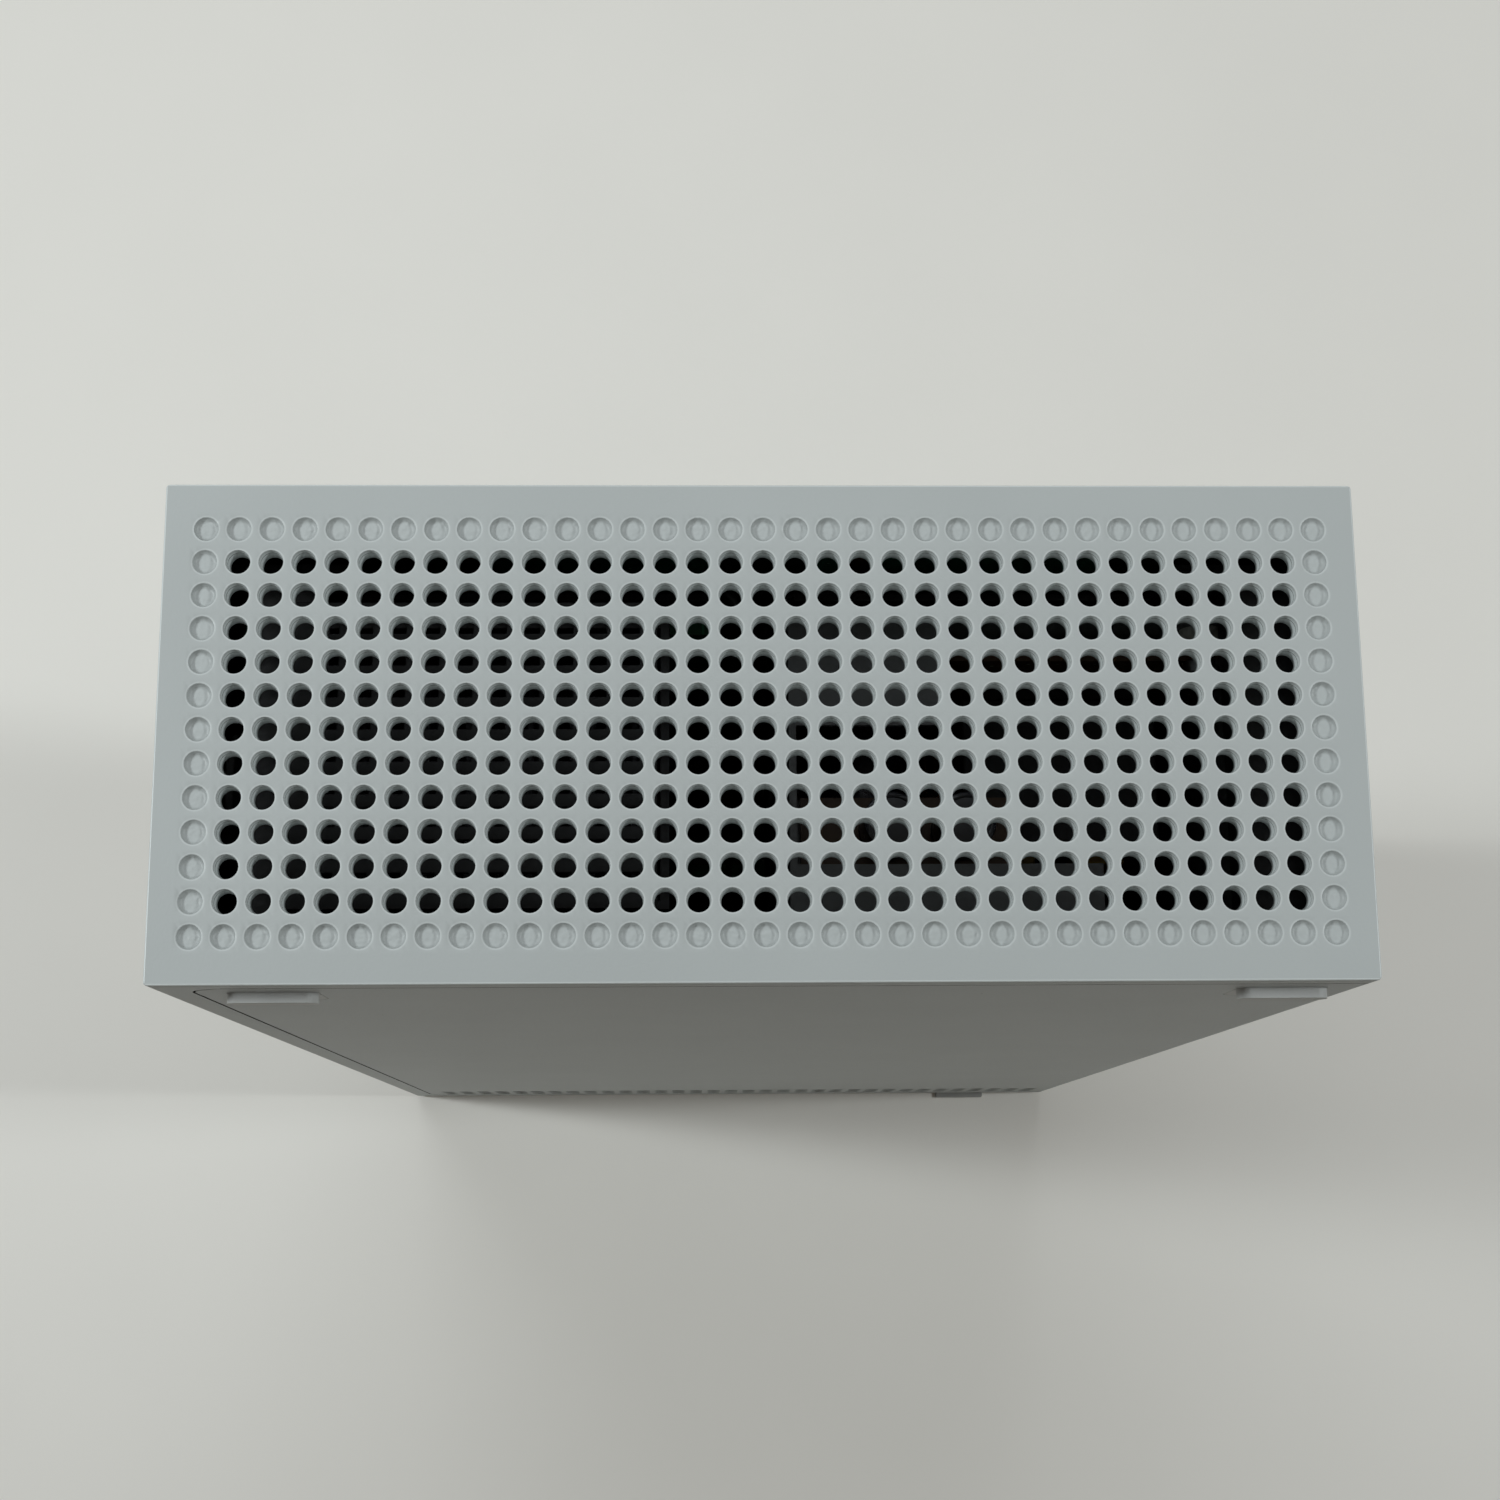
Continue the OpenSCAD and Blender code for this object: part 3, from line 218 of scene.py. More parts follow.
class Surface:
    def __init__(self, name, colour, roughness, metallic=0.0):
        self.material = bpy.data.materials.new(name)
        self.material.use_nodes = True
        self.tree = self.material.node_tree
        self.shader = self.tree.nodes["Principled BSDF"]
        self.place = add(self.tree, "TexCoord").outputs["Object"]
        self.colour = rgba(colour)
        self.roughness = roughness
        self.metallic = metallic
        self.normal = None

    def vary(self, size, amount):
        """Lets the colour drift lighter and darker over patches of a size."""
        drift = spread(self.tree, noise(self.tree, self.place, size), 0.3, 0.7)
        plain = self.colour
        if isinstance(plain, bpy.types.NodeSocket):
            dark = mix_colours(self.tree, amount, plain, (0, 0, 0))
            light = mix_colours(self.tree, amount, plain, (1, 1, 1))
        else:
            dark, light = scaled(plain, 1 - amount), scaled(plain, 1 + amount)
        self.colour = mix_colours(self.tree, drift, dark, light)
        return self

    def relief(self, size, depth, detail=3.0, stretch=None, gloss=0.05):
        """Fine relief, with the roughness following it."""
        place = stretched(self.tree, self.place, stretch) if stretch else self.place
        height = noise(self.tree, place, size, detail)
        self.normal = bump(self.tree, height, depth, self.normal)
        if not isinstance(self.roughness, bpy.types.NodeSocket):
            low, high = self.roughness - gloss, self.roughness + gloss
            self.roughness = spread(self.tree, height, 0.25, 0.75, low, high)
        return self

    def dust(self, cell, radius, share, colour):
        """Small specks, at most one in each cell."""
        inputs = {"Vector": self.place, "Scale": 1 / cell, "Randomness": 1.0}
        cells = add(self.tree, "TexVoronoi", inputs)
        near = math_node(self.tree, "LESS_THAN", cells.outputs["Distance"], radius / cell)
        pick = add(self.tree, "SeparateXYZ", {0: cells.outputs["Color"]}).outputs[0]
        chosen = math_node(self.tree, "LESS_THAN", pick, share)
        mask = math_node(self.tree, "MULTIPLY", near, chosen)
        self.colour = mix_colours(self.tree, mask, self.colour, colour)
        return self

    def zone(self, mask, colour, roughness, metallic=0.0):
        """Another finish where mask is 1."""
        self.colour = mix_colours(self.tree, mask, self.colour, colour)
        self.roughness = mix_values(self.tree, mask, self.roughness, roughness)
        if metallic != self.metallic:
            self.metallic = mix_values(self.tree, mask, self.metallic, metallic)
        return self

    def box_zone(self, low, high, colour, roughness, metallic=0.0):
        """Another finish inside the box between two corners."""
        return self.zone(within(self.tree, self.place, low, high), colour, roughness, metallic)

    def finish(self, **constants):
        """Links what varies, sets what is constant, and gives the material back."""
        varying = {"Base Color": self.colour, "Roughness": self.roughness,
                   "Metallic": self.metallic, "Normal": self.normal}
        for name, value in varying.items():
            if isinstance(value, bpy.types.NodeSocket):
                self.tree.links.new(value, self.shader.inputs[name])
            elif value is not None:
                self.shader.inputs[name].default_value = value
        for name, value in constants.items():
            self.shader.inputs[name.replace("_", " ")].default_value = value
        return self.material


# ---- Materials ----

WHITE = (0.41, 0.434, 0.429)
# Painted shade and dirt: near black down the gaps and seams of the case.
GROOVE_SHADE_AND_DIRT = (0.03, 0.03, 0.029)
# Painted shade: near black on the inner faces of the case.
INSIDE_SHADE = (0.005, 0.0055, 0.006)
SOOT = (0.12, 0.12, 0.11)
CASE_GLOSS = 0.4
GROOVE_ROUGH = 0.75
SKIN = 0.004 * MM          # how far below the surface the dark of a groove starts
# Hole walls, rims and lip below are painted lighter: painted light and painted highlights.
DIMPLE_TONE = 1.0          # tones of the perforated end, against the rest of the case
HOLE_WALL_LIGHT_TONE = 1.5
RIM_HIGHLIGHT_TONE = 1.3
LIP_HIGHLIGHT_TONE = 1.45


def moulded(name, colour, roughness=0.5):
    """Spark-eroded plastic: a fine even grain over a slight waviness, with faint patches."""
    surface = Surface(name, colour, roughness)
    surface.vary(22 * MM, 0.018)
    surface.relief(0.34 * MM, 0.025 * MM, detail=2.5)
    surface.relief(2.5 * MM, 0.02 * MM, detail=1.0)
    return surface


def inner_box():
    """The space inside the case walls, as two corners just behind their inner faces."""
    low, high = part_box("main_shell")
    slack = 0.08 * MM
    low = [part + WALL_T - slack for part in low]
    high = [high.x - WALL_T + slack, high.y - WALL_T + slack, high.z + slack]
    return low, high


def case_surface(name):
    return moulded(name, WHITE).dust(9 * MM, 0.16 * MM, 0.25, SOOT)


def finish_case(surface):
    """Paints the inner faces near black: painted shade for the dark inside of the case."""
    surface.box_zone(*inner_box(), INSIDE_SHADE, 0.7)
    return surface.finish(Specular_IOR_Level=CASE_GLOSS)


def opening_box():
    """The shell's opening for the cover, as two corners just outside its edges."""
    shell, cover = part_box("main_shell"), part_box("side_cover")
    rim = cover[0].z - shell[0].z - COVER_GAP
    slack = 0.3 * MM
    low = [shell[0].x + rim - slack, shell[0].y + SKIN, shell[0].z + rim - slack]
    high = [shell[1].x - SKIN, shell[1].y - rim + slack, cover[1].z + COVER_GAP + slack]
    return low, high


def case_plastic(name):
    """Light case plastic, with painted shade and dirt down the gap round the cover and in the seam
    at the top.
    """
    surface = case_surface(name)
    # Painted shade and dirt down the gap round the cover.
    surface.box_zone(*opening_box(), GROOVE_SHADE_AND_DIRT, GROOVE_ROUGH)
    low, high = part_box("main_shell")
    # Painted shade and dirt along the shell's top edge, in the seam under the grille's flange.
    surface.box_zone((low.x - MM, low.y - MM, high.z - FINE_R), high + Vector((MM, MM, MM)),
                     GROOVE_SHADE_AND_DIRT, GROOVE_ROUGH)
    return finish_case(surface)


def cover_plastic(name):
    """The same plastic, with painted shade and dirt on the cover's own outer edges, as dark as the
    gap.
    """
    surface = case_surface(name)
    tree, place = surface.tree, surface.place
    shell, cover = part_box("main_shell"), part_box("side_cover")
    rim = cover[0].z - shell[0].z
    sunk = within(tree, place, (shell[0].x, shell[0].y + SKIN, shell[0].z),
                  (shell[1].x - SKIN, shell[1].y, shell[1].z))
    face = within(tree, place, (shell[0].x + rim + FINE_R, shell[0].y - MM, cover[0].z + FINE_R),
                  (shell[1].x + MM, shell[1].y - rim - FINE_R, cover[1].z - FINE_R))
    off_face = math_node(tree, "SUBTRACT", 1.0, face)
    # Painted shade and dirt on the cover's outer edges and bevels, off its flat face.
    surface.zone(math_node(tree, "MULTIPLY", sunk, off_face), GROOVE_SHADE_AND_DIRT, GROOVE_ROUGH)
    return finish_case(surface)


def hole_distance(tree, place):
    """How far a point is, across the plate, from the middle of its hole or dimple."""
    scale = (1 / PITCH_X, 1 / PITCH_Y, 0)
    shift = (0.5, 0.5 - MID_Y / PITCH_Y, 0)
    cells = add(tree, "VectorMath", {0: place, 1: scale, 2: shift}, operation="MULTIPLY_ADD")
    inner = add(tree, "VectorMath", {0: cells.outputs[0]}, operation="FRACTION").outputs[0]
    offset = add(tree, "VectorMath", {0: inner, 1: (PITCH_X, PITCH_Y, 0),
                                      2: (-PITCH_X / 2, -PITCH_Y / 2, 0)},
                 operation="MULTIPLY_ADD").outputs[0]
    return add(tree, "VectorMath", {0: offset}, operation="LENGTH").outputs["Value"]


def grid_mask(surface, inset):
    """1 over the block of holes and dimples, less some rings of them at its edge."""
    low_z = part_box("end_grille")[0].z
    half_x, half_y = GRID_X - inset * PITCH_X, GRID_Y - inset * PITCH_Y
    return within(surface.tree, surface.place, (-half_x, MID_Y - half_y, low_z),
                  (half_x, MID_Y + half_y, TOP + MM))


def finish_holes(surface):
    """Painted highlights on the rims, painted light on the hole walls, and uneven floors in the
    dimples.
    """
    tree = surface.tree
    away = hole_distance(tree, surface.place)
    fade = spread(tree, away, HOLE_R + 0.1 * MM, HOLE_R + 0.28 * MM, 0.75, 0)
    outside = math_node(tree, "GREATER_THAN", away, HOLE_R - 0.03 * MM)
    grid = grid_mask(surface, 0)
    rim = math_node(tree, "MULTIPLY", outside, grid)
    # Painted highlight: a lighter, glossier ring round each hole.
    surface.zone(math_node(tree, "MULTIPLY", rim, fade), scaled(WHITE, RIM_HIGHLIGHT_TONE), 0.4)
    cup = math_node(tree, "SUBTRACT", grid, rim)
    surface.zone(cup, scaled(WHITE, DIMPLE_TONE), 0.45)
    wall = math_node(tree, "MULTIPLY", cup, grid_mask(surface, 1))
    # Painted light: the walls of the through holes lighter than the plate.
    surface.zone(wall, scaled(WHITE, HOLE_WALL_LIGHT_TONE), 0.45)
    dimple = math_node(tree, "SUBTRACT", cup, wall)
    height = math_node(tree, "MULTIPLY", noise(tree, surface.place, 0.9 * MM, 1.0), dimple)
    surface.normal = bump(tree, height, 0.16 * MM, surface.normal)


def finish_lip(surface):
    """A painted highlight: a light line along the plate's upper outer edge."""
    low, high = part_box("end_grille")
    edge = 0.22 * MM
    flat = within(surface.tree, surface.place, (low.x + edge, low.y + edge, low.z),
                  (high.x - edge, high.y - edge, high.z + MM))
    upper = within(surface.tree, surface.place, (low.x - MM, low.y - MM, high.z - edge),
                   (high.x + MM, high.y + MM, high.z + MM))
    lip = math_node(surface.tree, "SUBTRACT", upper, flat)
    surface.zone(math_node(surface.tree, "MAXIMUM", lip, 0.0), scaled(WHITE, LIP_HIGHLIGHT_TONE), 0.35)


def grille_plastic(name):
    """The case's plastic, with worked holes, painted highlights and painted light on their rims
    and walls and along the upper edge, painted shade and dirt in the seam, and painted shade under
    the plate.
    """
    low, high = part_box("end_grille")
    surface = moulded(name, WHITE).dust(11 * MM, 0.14 * MM, 0.3, (0.1, 0.1, 0.1))
    finish_holes(surface)
    finish_lip(surface)
    # Painted shade and dirt in the seam under the plate's flange.
    seam_z = high.z - FLANGE_T
    surface.box_zone((low.x - MM, low.y - MM, seam_z - 0.02 * MM),
                     (high.x + MM, high.y + MM, seam_z + 0.1 * MM), GROOVE_SHADE_AND_DIRT, GROOVE_ROUGH)
    # Painted shade: near black under the plate, inside the case.
    surface.box_zone(low, (high.x, high.y, high.z - PLATE_T + 0.02 * MM), INSIDE_SHADE, 0.7)
    return surface.finish(Specular_IOR_Level=CASE_GLOSS)


def rubber(name, colour, roughness=0.75):
    surface = Surface(name, colour, roughness).vary(6 * MM, 0.06)
    surface.relief(0.18 * MM, 0.03 * MM).relief(1.2 * MM, 0.03 * MM, detail=1.0)
    return surface.dust(4 * MM, 0.1 * MM, 0.35, scaled(colour, 1.25)).finish()


def dark_plastic(name, colour=(0.016, 0.017, 0.018), roughness=0.45):
    surface = Surface(name, colour, roughness).vary(8 * MM, 0.15)
    return surface.relief(0.22 * MM, 0.02 * MM).dust(5 * MM, 0.08 * MM, 0.3, (0.2, 0.2, 0.19))


def painted_steel(name, colour):
    """Powder-coated sheet with orange peel."""
    surface = Surface(name, colour, 0.42).vary(14 * MM, 0.12)
    return surface.relief(0.9 * MM, 0.05 * MM, detail=1.5).relief(0.2 * MM, 0.012 * MM)


def brushed(name, colour, roughness, along):
    """Bare metal with fine scratches along one axis."""
    stretch = tuple(0.03 if axis == along else 1.0 for axis in "xyz")
    surface = Surface(name, colour, roughness, 1.0).vary(9 * MM, 0.08)
    return surface.relief(0.12 * MM, 0.008 * MM, stretch=stretch, gloss=0.12)


def tinplate(name):
    """Tinned steel: a soft crystalline pattern under fine scratches."""
    surface = Surface(name, (0.62, 0.63, 0.64), 0.32, 1.0)
    inputs = {"Vector": surface.place, "Scale": 1 / (2.2 * MM)}
    grains = add(surface.tree, "TexVoronoi", inputs).outputs["Color"]
    tone = add(surface.tree, "SeparateXYZ", {0: grains}).outputs[0]
    surface.colour = mix_colours(surface.tree, tone, (0.5, 0.51, 0.52), (0.7, 0.71, 0.72))
    return surface.relief(0.15 * MM, 0.006 * MM, stretch=(0.05, 1.0, 1.0), gloss=0.1)


def circuit(name, mask_colour, face_axes):
    """Solder-masked board: tracks and ground fill show as relief and tone, with plated pads."""
    surface = Surface(name, mask_colour, 0.32)
    tree = surface.tree
    parts = add(tree, "SeparateXYZ", {0: surface.place}).outputs
    across, along = (parts["XYZ".index(axis)] for axis in face_axes)
    flat = add(tree, "CombineXYZ", {0: across, 1: along}).outputs[0]
    inputs = {"Vector": flat, "Scale": 1.0, "Mortar Size": 0.16 * MM, "Mortar Smooth": 0.1,
              "Bias": 0.0, "Brick Width": 7.5 * MM, "Row Height": 0.9 * MM}
    tracks = add(tree, "TexBrick", inputs, offset=0.37, squash=0.6, squash_frequency=3)
    track = tracks.outputs["Fac"]
    region = spread(tree, noise(tree, flat, 11 * MM, 0.0), 0.47, 0.53)
    lines = math_node(tree, "MULTIPLY", track, region)
    surface.colour = mix_colours(tree, lines, mask_colour, scaled(mask_colour, 1.9))
    pads = add(tree, "TexVoronoi", {"Vector": flat, "Scale": 1 / (2.3 * MM), "Randomness": 0.55})
    pad = math_node(tree, "LESS_THAN", pads.outputs["Distance"], 0.13)
    surface.zone(pad, (0.62, 0.6, 0.52), 0.3, 1.0)
    surface.normal = bump(tree, math_node(tree, "ADD", lines, pad), 0.03 * MM)
    return surface


def jacket(name, colour):
    """Extruded lead jacket."""
    surface = Surface(name, colour, 0.42).vary(3 * MM, 0.1)
    return surface.relief(0.5 * MM, 0.015 * MM, detail=1.0).finish()


def light_pipe_resin(name):
    surface = Surface(name, (0.93, 0.96, 0.98), 0.12).relief(0.8 * MM, 0.006 * MM, gloss=0.05)
    return surface.finish(Transmission_Weight=0.85, IOR=1.49)


# ---- Mesh building ----

SHARP_ANGLE = math.radians(28)
FLAT_ANGLE = math.radians(0.5)


def link_piece(name, shell, mesh=None):
    """Writes a bmesh to a mesh, frees it, and puts the mesh in the scene as an object."""
    mesh = mesh or bpy.data.meshes.new(name)
    shell.to_mesh(mesh)
    shell.free()
    piece = bpy.data.objects.new(name, mesh)
    scene.collection.objects.link(piece)
    return piece


def mesh_piece(name, vertices, faces, weld=1e-7):
    """An object from lists of vertices and faces, welded, with its faces turned outward."""
    mesh = bpy.data.meshes.new(name)
    mesh.from_pydata(vertices, [], faces)
    shell = bmesh.new()
    shell.from_mesh(mesh)
    bmesh.ops.remove_doubles(shell, verts=shell.verts, dist=weld)
    bmesh.ops.recalc_face_normals(shell, faces=shell.faces)
    return link_piece(name, shell, mesh)


def ring_faces(first, second, sides):
    """Quads between two rings of vertices."""
    return [(first + i, first + (i + 1) % sides, second + (i + 1) % sides, second + i)
            for i in range(sides)]


def add_rings(vertices, faces, rings, closed=True):
    """Rings of points joined by quads, with a face on the first and the last if closed."""
    sides = len(rings[0])
    starts = [len(vertices) + i * sides for i in range(len(rings))]
    for ring in rings:
        vertices.extend(ring)
    for first, second in zip(starts, starts[1:]):
        faces.extend(ring_faces(first, second, sides))
    if closed:
        faces.extend(tuple(range(start, start + sides)) for start in (starts[0], starts[-1]))


def weigh_normals(piece):
    """Keeps large flat faces flat beside rounded edges."""
    weighted = piece.modifiers.new("weighted_normals", "WEIGHTED_NORMAL")
    weighted.weight = 100
    return weighted


def smooth(piece, sharp_over=50):
    """Smooth shading, apart from edges sharper than an angle in degrees."""
    mesh = piece.data
    shell = bmesh.new()
    shell.from_mesh(mesh)
    limit = math.radians(sharp_over)
    for edge in shell.edges:
        edge.smooth = edge.calc_face_angle(0) < limit
    for face in shell.faces:
        face.smooth = True
    shell.to_mesh(mesh)
    shell.free()
    weigh_normals(piece).keep_sharp = True


def place_piece(piece, body, slot, material, *replaced):
    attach(piece, body)
    piece.data.materials.clear()
    piece.data.materials.append(material)
    if replaced:
        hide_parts(*replaced)


def bevel(shell, edges, width, segments):
    bmesh.ops.bevel(shell, geom=edges, offset=width, offset_type="OFFSET", segments=segments,
                    profile=0.5, affect="EDGES", clamp_overlap=True)


def sharp_edges(shell):
    return [edge for edge in shell.edges
            if len(edge.link_faces) == 2 and edge.calc_face_angle(0) > SHARP_ANGLE]


def outer_edge(low, high):
    """Test for edges that lie along the outer edges of the case's box."""
    near = 0.01 * MM

    def on_sides(point):
        return (abs(point.x - low.x) < near or abs(point.x - high.x) < near,
                abs(point.y - low.y) < near or abs(point.y - high.y) < near,
                abs(point.z - low.z) < near)

    def test(edge):
        sides = [on_sides(vertex.co) for vertex in edge.verts]
        return sum(a and b for a, b in zip(*sides)) >= 2
    return test


def rounded_copy(node, name, box, wide, fine):
    """A copy of a CAD node with the case's outer edges rounded widely and the rest finely."""
    shell = bmesh.new()
    shell.from_mesh(nodes[node].data)
    bmesh.ops.remove_doubles(shell, verts=shell.verts, dist=1e-6)
    bmesh.ops.dissolve_limit(shell, angle_limit=FLAT_ANGLE, verts=shell.verts, edges=shell.edges)
    bevel(shell, list(filter(outer_edge(*box), sharp_edges(shell))), wide, 4)
    bevel(shell, sharp_edges(shell), fine, 2)
    piece = link_piece(name, shell)
    smooth(piece)
    return piece


def soften(node, width, segments):
    """Rounds the edges of a CAD node with modifiers, which leave its mesh as it is."""
    piece = nodes[node]
    weld = piece.modifiers.new("weld", "WELD")
    weld.merge_threshold = 1e-6
    flat = piece.modifiers.new("flat", "DECIMATE")
    flat.decimate_type = "DISSOLVE"
    flat.angle_limit = FLAT_ANGLE
    rounding = piece.modifiers.new("bevel", "BEVEL")
    rounding.width = width
    rounding.segments = segments
    rounding.limit_method = "ANGLE"
    rounding.angle_limit = SHARP_ANGLE
    rounding.harden_normals = False
    for face in piece.data.polygons:
        face.use_smooth = True
    weigh_normals(piece)


# ---- Perforated end ----

HOLE_SIDES = 24
CELL_STEPS = HOLE_SIDES // 4
CORNER_STEPS = 4
SIDE_COUNTS = [COLUMNS * CELL_STEPS, ROWS * CELL_STEPS] * 2
HOOK_L = 7.4               # snap hooks, in mm
HOOK_HALF_W = 4


def cell_rim(index):
    """A point on the edge of a hole's cell, in half-cell units, opposite hole vertex index."""
    half = CELL_STEPS // 2
    side, step = divmod(index + half, CELL_STEPS)
    slide = step / half - 1
    return [(1, slide), (-slide, 1), (-1, -slide), (slide, -1)][side % 4]


def rim_profile(radius):
    """Rounded upper edge of a hole, from the plate down to its wall."""
    steps = [math.radians(45 * i) for i in range(3)]
    return [(radius + RIM_R * (1 - math.sin(a)), TOP - RIM_R * (1 - math.cos(a))) for a in steps]


def hole_profile():
    """(radius, z) down a through hole, which narrows downward."""
    low = TOP - PLATE_T
    return rim_profile(HOLE_R) + [
        (HOLE_LOW_R + 0.08 * MM, low + 0.9 * MM), (HOLE_LOW_R, low + 0.1 * MM),
        (HOLE_LOW_R + 0.08 * MM, low)]


def dimple_profile():
    """(radius, z) down a blind dimple, to a slightly crowned floor. No two are quite alike."""
    depth = random.uniform(0.68, 0.8)
    crown = random.uniform(0, 0.05)
    steps = [(1.43, 0.3), (1.3, depth - 0.14), (1.1, depth - 0.02), (0.9, depth),
             (0.6, depth - crown * 0.5), (0.3, depth - crown * 0.9)]
    return rim_profile(HOLE_R) + [(r * MM, TOP - d * MM) for r, d in steps]


def add_cell(vertices, faces, middle, profile, through):
    """The square of plate round one hole, with the hole's wall or the dimple's cup."""
    def ring(points):
        start = len(vertices)
        vertices.extend(points)
        return start

    def edge_ring(z):
        return ring([(middle[0] + x * PITCH_X / 2, middle[1] + y * PITCH_Y / 2, z)
                     for x, y in map(cell_rim, range(HOLE_SIDES))])

    last = edge_ring(TOP)
    angles = [2 * math.pi * i / HOLE_SIDES for i in range(HOLE_SIDES)]
    for radius, z in profile:
        wobble = 0 if through else random.uniform(-0.03, 0.03) * MM
        x, y = middle[0] + wobble, middle[1]
        this = ring([(x + radius * math.cos(a), y + radius * math.sin(a), z) for a in angles])
        faces.extend(ring_faces(last, this, HOLE_SIDES))
        last = this
    low = edge_ring(TOP - PLATE_T)
    if through:
        faces.extend(ring_faces(last, low, HOLE_SIDES))
        return
    floor = ring([(middle[0], middle[1], profile[-1][1] + 0.01 * MM)])
    faces.extend((last + i, last + (i + 1) % HOLE_SIDES, floor) for i in range(HOLE_SIDES))
    faces.append(tuple(range(low, low + HOLE_SIDES)))


def block_loop(z):
    """Points round the block of cells, anticlockwise from its -X -Y corner."""
    corners = [(-GRID_X, -GRID_Y), (GRID_X, -GRID_Y), (GRID_X, GRID_Y), (-GRID_X, GRID_Y)]
    points = []
    for side, count in enumerate(SIDE_COUNTS):
        a, b = Vector(corners[side]), Vector(corners[(side + 1) % 4])
        points += [a.lerp(b, k / count) for k in range(count)]
    return [(p.x, p.y + MID_Y, z) for p in points]


def rounded_loop(half_x, half_y, radius, z):
    """As many points as block_loop, round a rectangle with rounded corners."""
    centres = [(-half_x + radius, -half_y + radius), (half_x - radius, -half_y + radius),
               (half_x - radius, half_y - radius), (-half_x + radius, half_y - radius)]

    def corner(index, step):
        angle = math.radians(180 + 90 * index + 90 / CORNER_STEPS * (step + 2))
        x, y = centres[index % 4]
        return Vector((x + radius * math.cos(angle), y + radius * math.sin(angle)))

    points = []
    for side, count in enumerate(SIDE_COUNTS):
        a, b = corner(side, 2), corner(side + 1, -2)
        straight = count - CORNER_STEPS
        points += [corner(side, 0), corner(side, 1)]
        points += [a.lerp(b, k / straight) for k in range(straight + 1)]
        points += [corner(side + 1, -1)]
    return [(p.x, p.y + MID_Y, z) for p in points]


def grille_loops():
    """Loops from the block of cells out over the rim and back under it."""
    low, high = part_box("end_grille")
    half_x, half_y = (high.x - low.x) / 2, (high.y - low.y) / 2
    under = TOP - PLATE_T
    flange = TOP - FLANGE_T
    wall = WALL_T + PLUG_GAP
    plug = (half_x - wall, half_y - wall)
    plug_end = (plug[0] - PLUG_GAP, plug[1] - PLUG_GAP)

    def edge(inset, z):
        return rounded_loop(half_x - inset, half_y - inset, CORNER_R - inset, z)

    loops = [block_loop(TOP)]
    for step in range(5):
        angle = math.radians(22.5 * step)
        loops.append(edge(EDGE_R * (1 - math.sin(angle)), TOP - EDGE_R * (1 - math.cos(angle))))
    loops += [edge(0, flange + SEAM_R), edge(SEAM_R, flange)]
    loops += [rounded_loop(*plug, 0.5 * MM, z) for z in (flange, under + PLUG_GAP)]
    return loops + [rounded_loop(*plug_end, 0.4 * MM, under), block_loop(under)]


def add_hook(vertices, faces, face, along, across):
    """A snap hook below the plate: face is the point on the wall, across points out at it."""
    root = HOOK_L + 0.05
    outline = [(-1.5, root), (-1.5, 0.3), (-1.2, 0), (-0.1, 0), (0.6, 0.9), (0.6, 2.0),
               (-0.3, 2.0), (-0.3, root)]
    low_z = TOP - PLATE_T - HOOK_L * MM
    rings = []
    for side in (-HOOK_HALF_W, HOOK_HALF_W):
        ring = []
        for out, up in outline:
            point = Vector(face) + Vector(across) * out * MM + Vector(along) * side * MM
            ring.append((point.x, point.y, low_z + up * MM))
        rings.append(ring)
    add_rings(vertices, faces, rings)


def add_cells(vertices, faces):
    """The block of cells: a ring of blind dimples round the through holes."""
    for column in range(COLUMNS):
        for row in range(ROWS):
            middle = ((column - (COLUMNS - 1) / 2) * PITCH_X,
                      (row - (ROWS - 1) / 2) * PITCH_Y + MID_Y)
            blind = column in (0, COLUMNS - 1) or row in (0, ROWS - 1)
            profile = dimple_profile() if blind else hole_profile()
            add_cell(vertices, faces, middle, profile, not blind)


def build_grille():
    low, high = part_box("end_grille")
    vertices, faces = [], []
    add_cells(vertices, faces)
    add_rings(vertices, faces, grille_loops(), closed=False)
    for x in (-30, 30):
        add_hook(vertices, faces, (x * MM, high.y - WALL_T, 0), (1, 0, 0), (0, 1, 0))
    for y in (-14, 14):
        add_hook(vertices, faces, (low.x + WALL_T, y * MM, 0), (0, 1, 0), (-1, 0, 0))
    piece = mesh_piece("perforated_end", vertices, faces)
    smooth(piece)
    place_piece(piece, "case", "grille_plastic", grille_plastic("grille_plastic"), "end_grille")


# ---- Case ----

def build_case():
    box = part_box("main_shell")
    shell = rounded_copy("main_shell", "shell_moulding", box, CORNER_R, FINE_R)
    place_piece(shell, "case", "case_plastic", case_plastic("case_plastic"), "main_shell")
    cover = rounded_copy("side_cover", "cover_moulding", box, CORNER_R, FINE_R)
    place_piece(cover, "case", "cover_plastic", cover_plastic("cover_plastic"), "side_cover")


# ---- Leads and their plugs ----

LEAD_STEPS = 6
LEAD_SIDES = 14


def smooth_route(points):
    """part.scad's curve through the points of a lead, in metres."""
    through = [Vector(point) * MM for point in points]
    last = len(through) - 1
    route = []
    for i in range(last):
        a, b = through[max(i - 1, 0)], through[i]
        c, d = through[i + 1], through[min(i + 2, last)]
        for step in range(LEAD_STEPS):
            t = step / LEAD_STEPS
            route.append(0.5 * (2 * b + (c - a) * t + (2 * a - 5 * b + 4 * c - d) * t * t
                                + (3 * b - a - 3 * c + d) * t ** 3))
    return route + [through[last]]


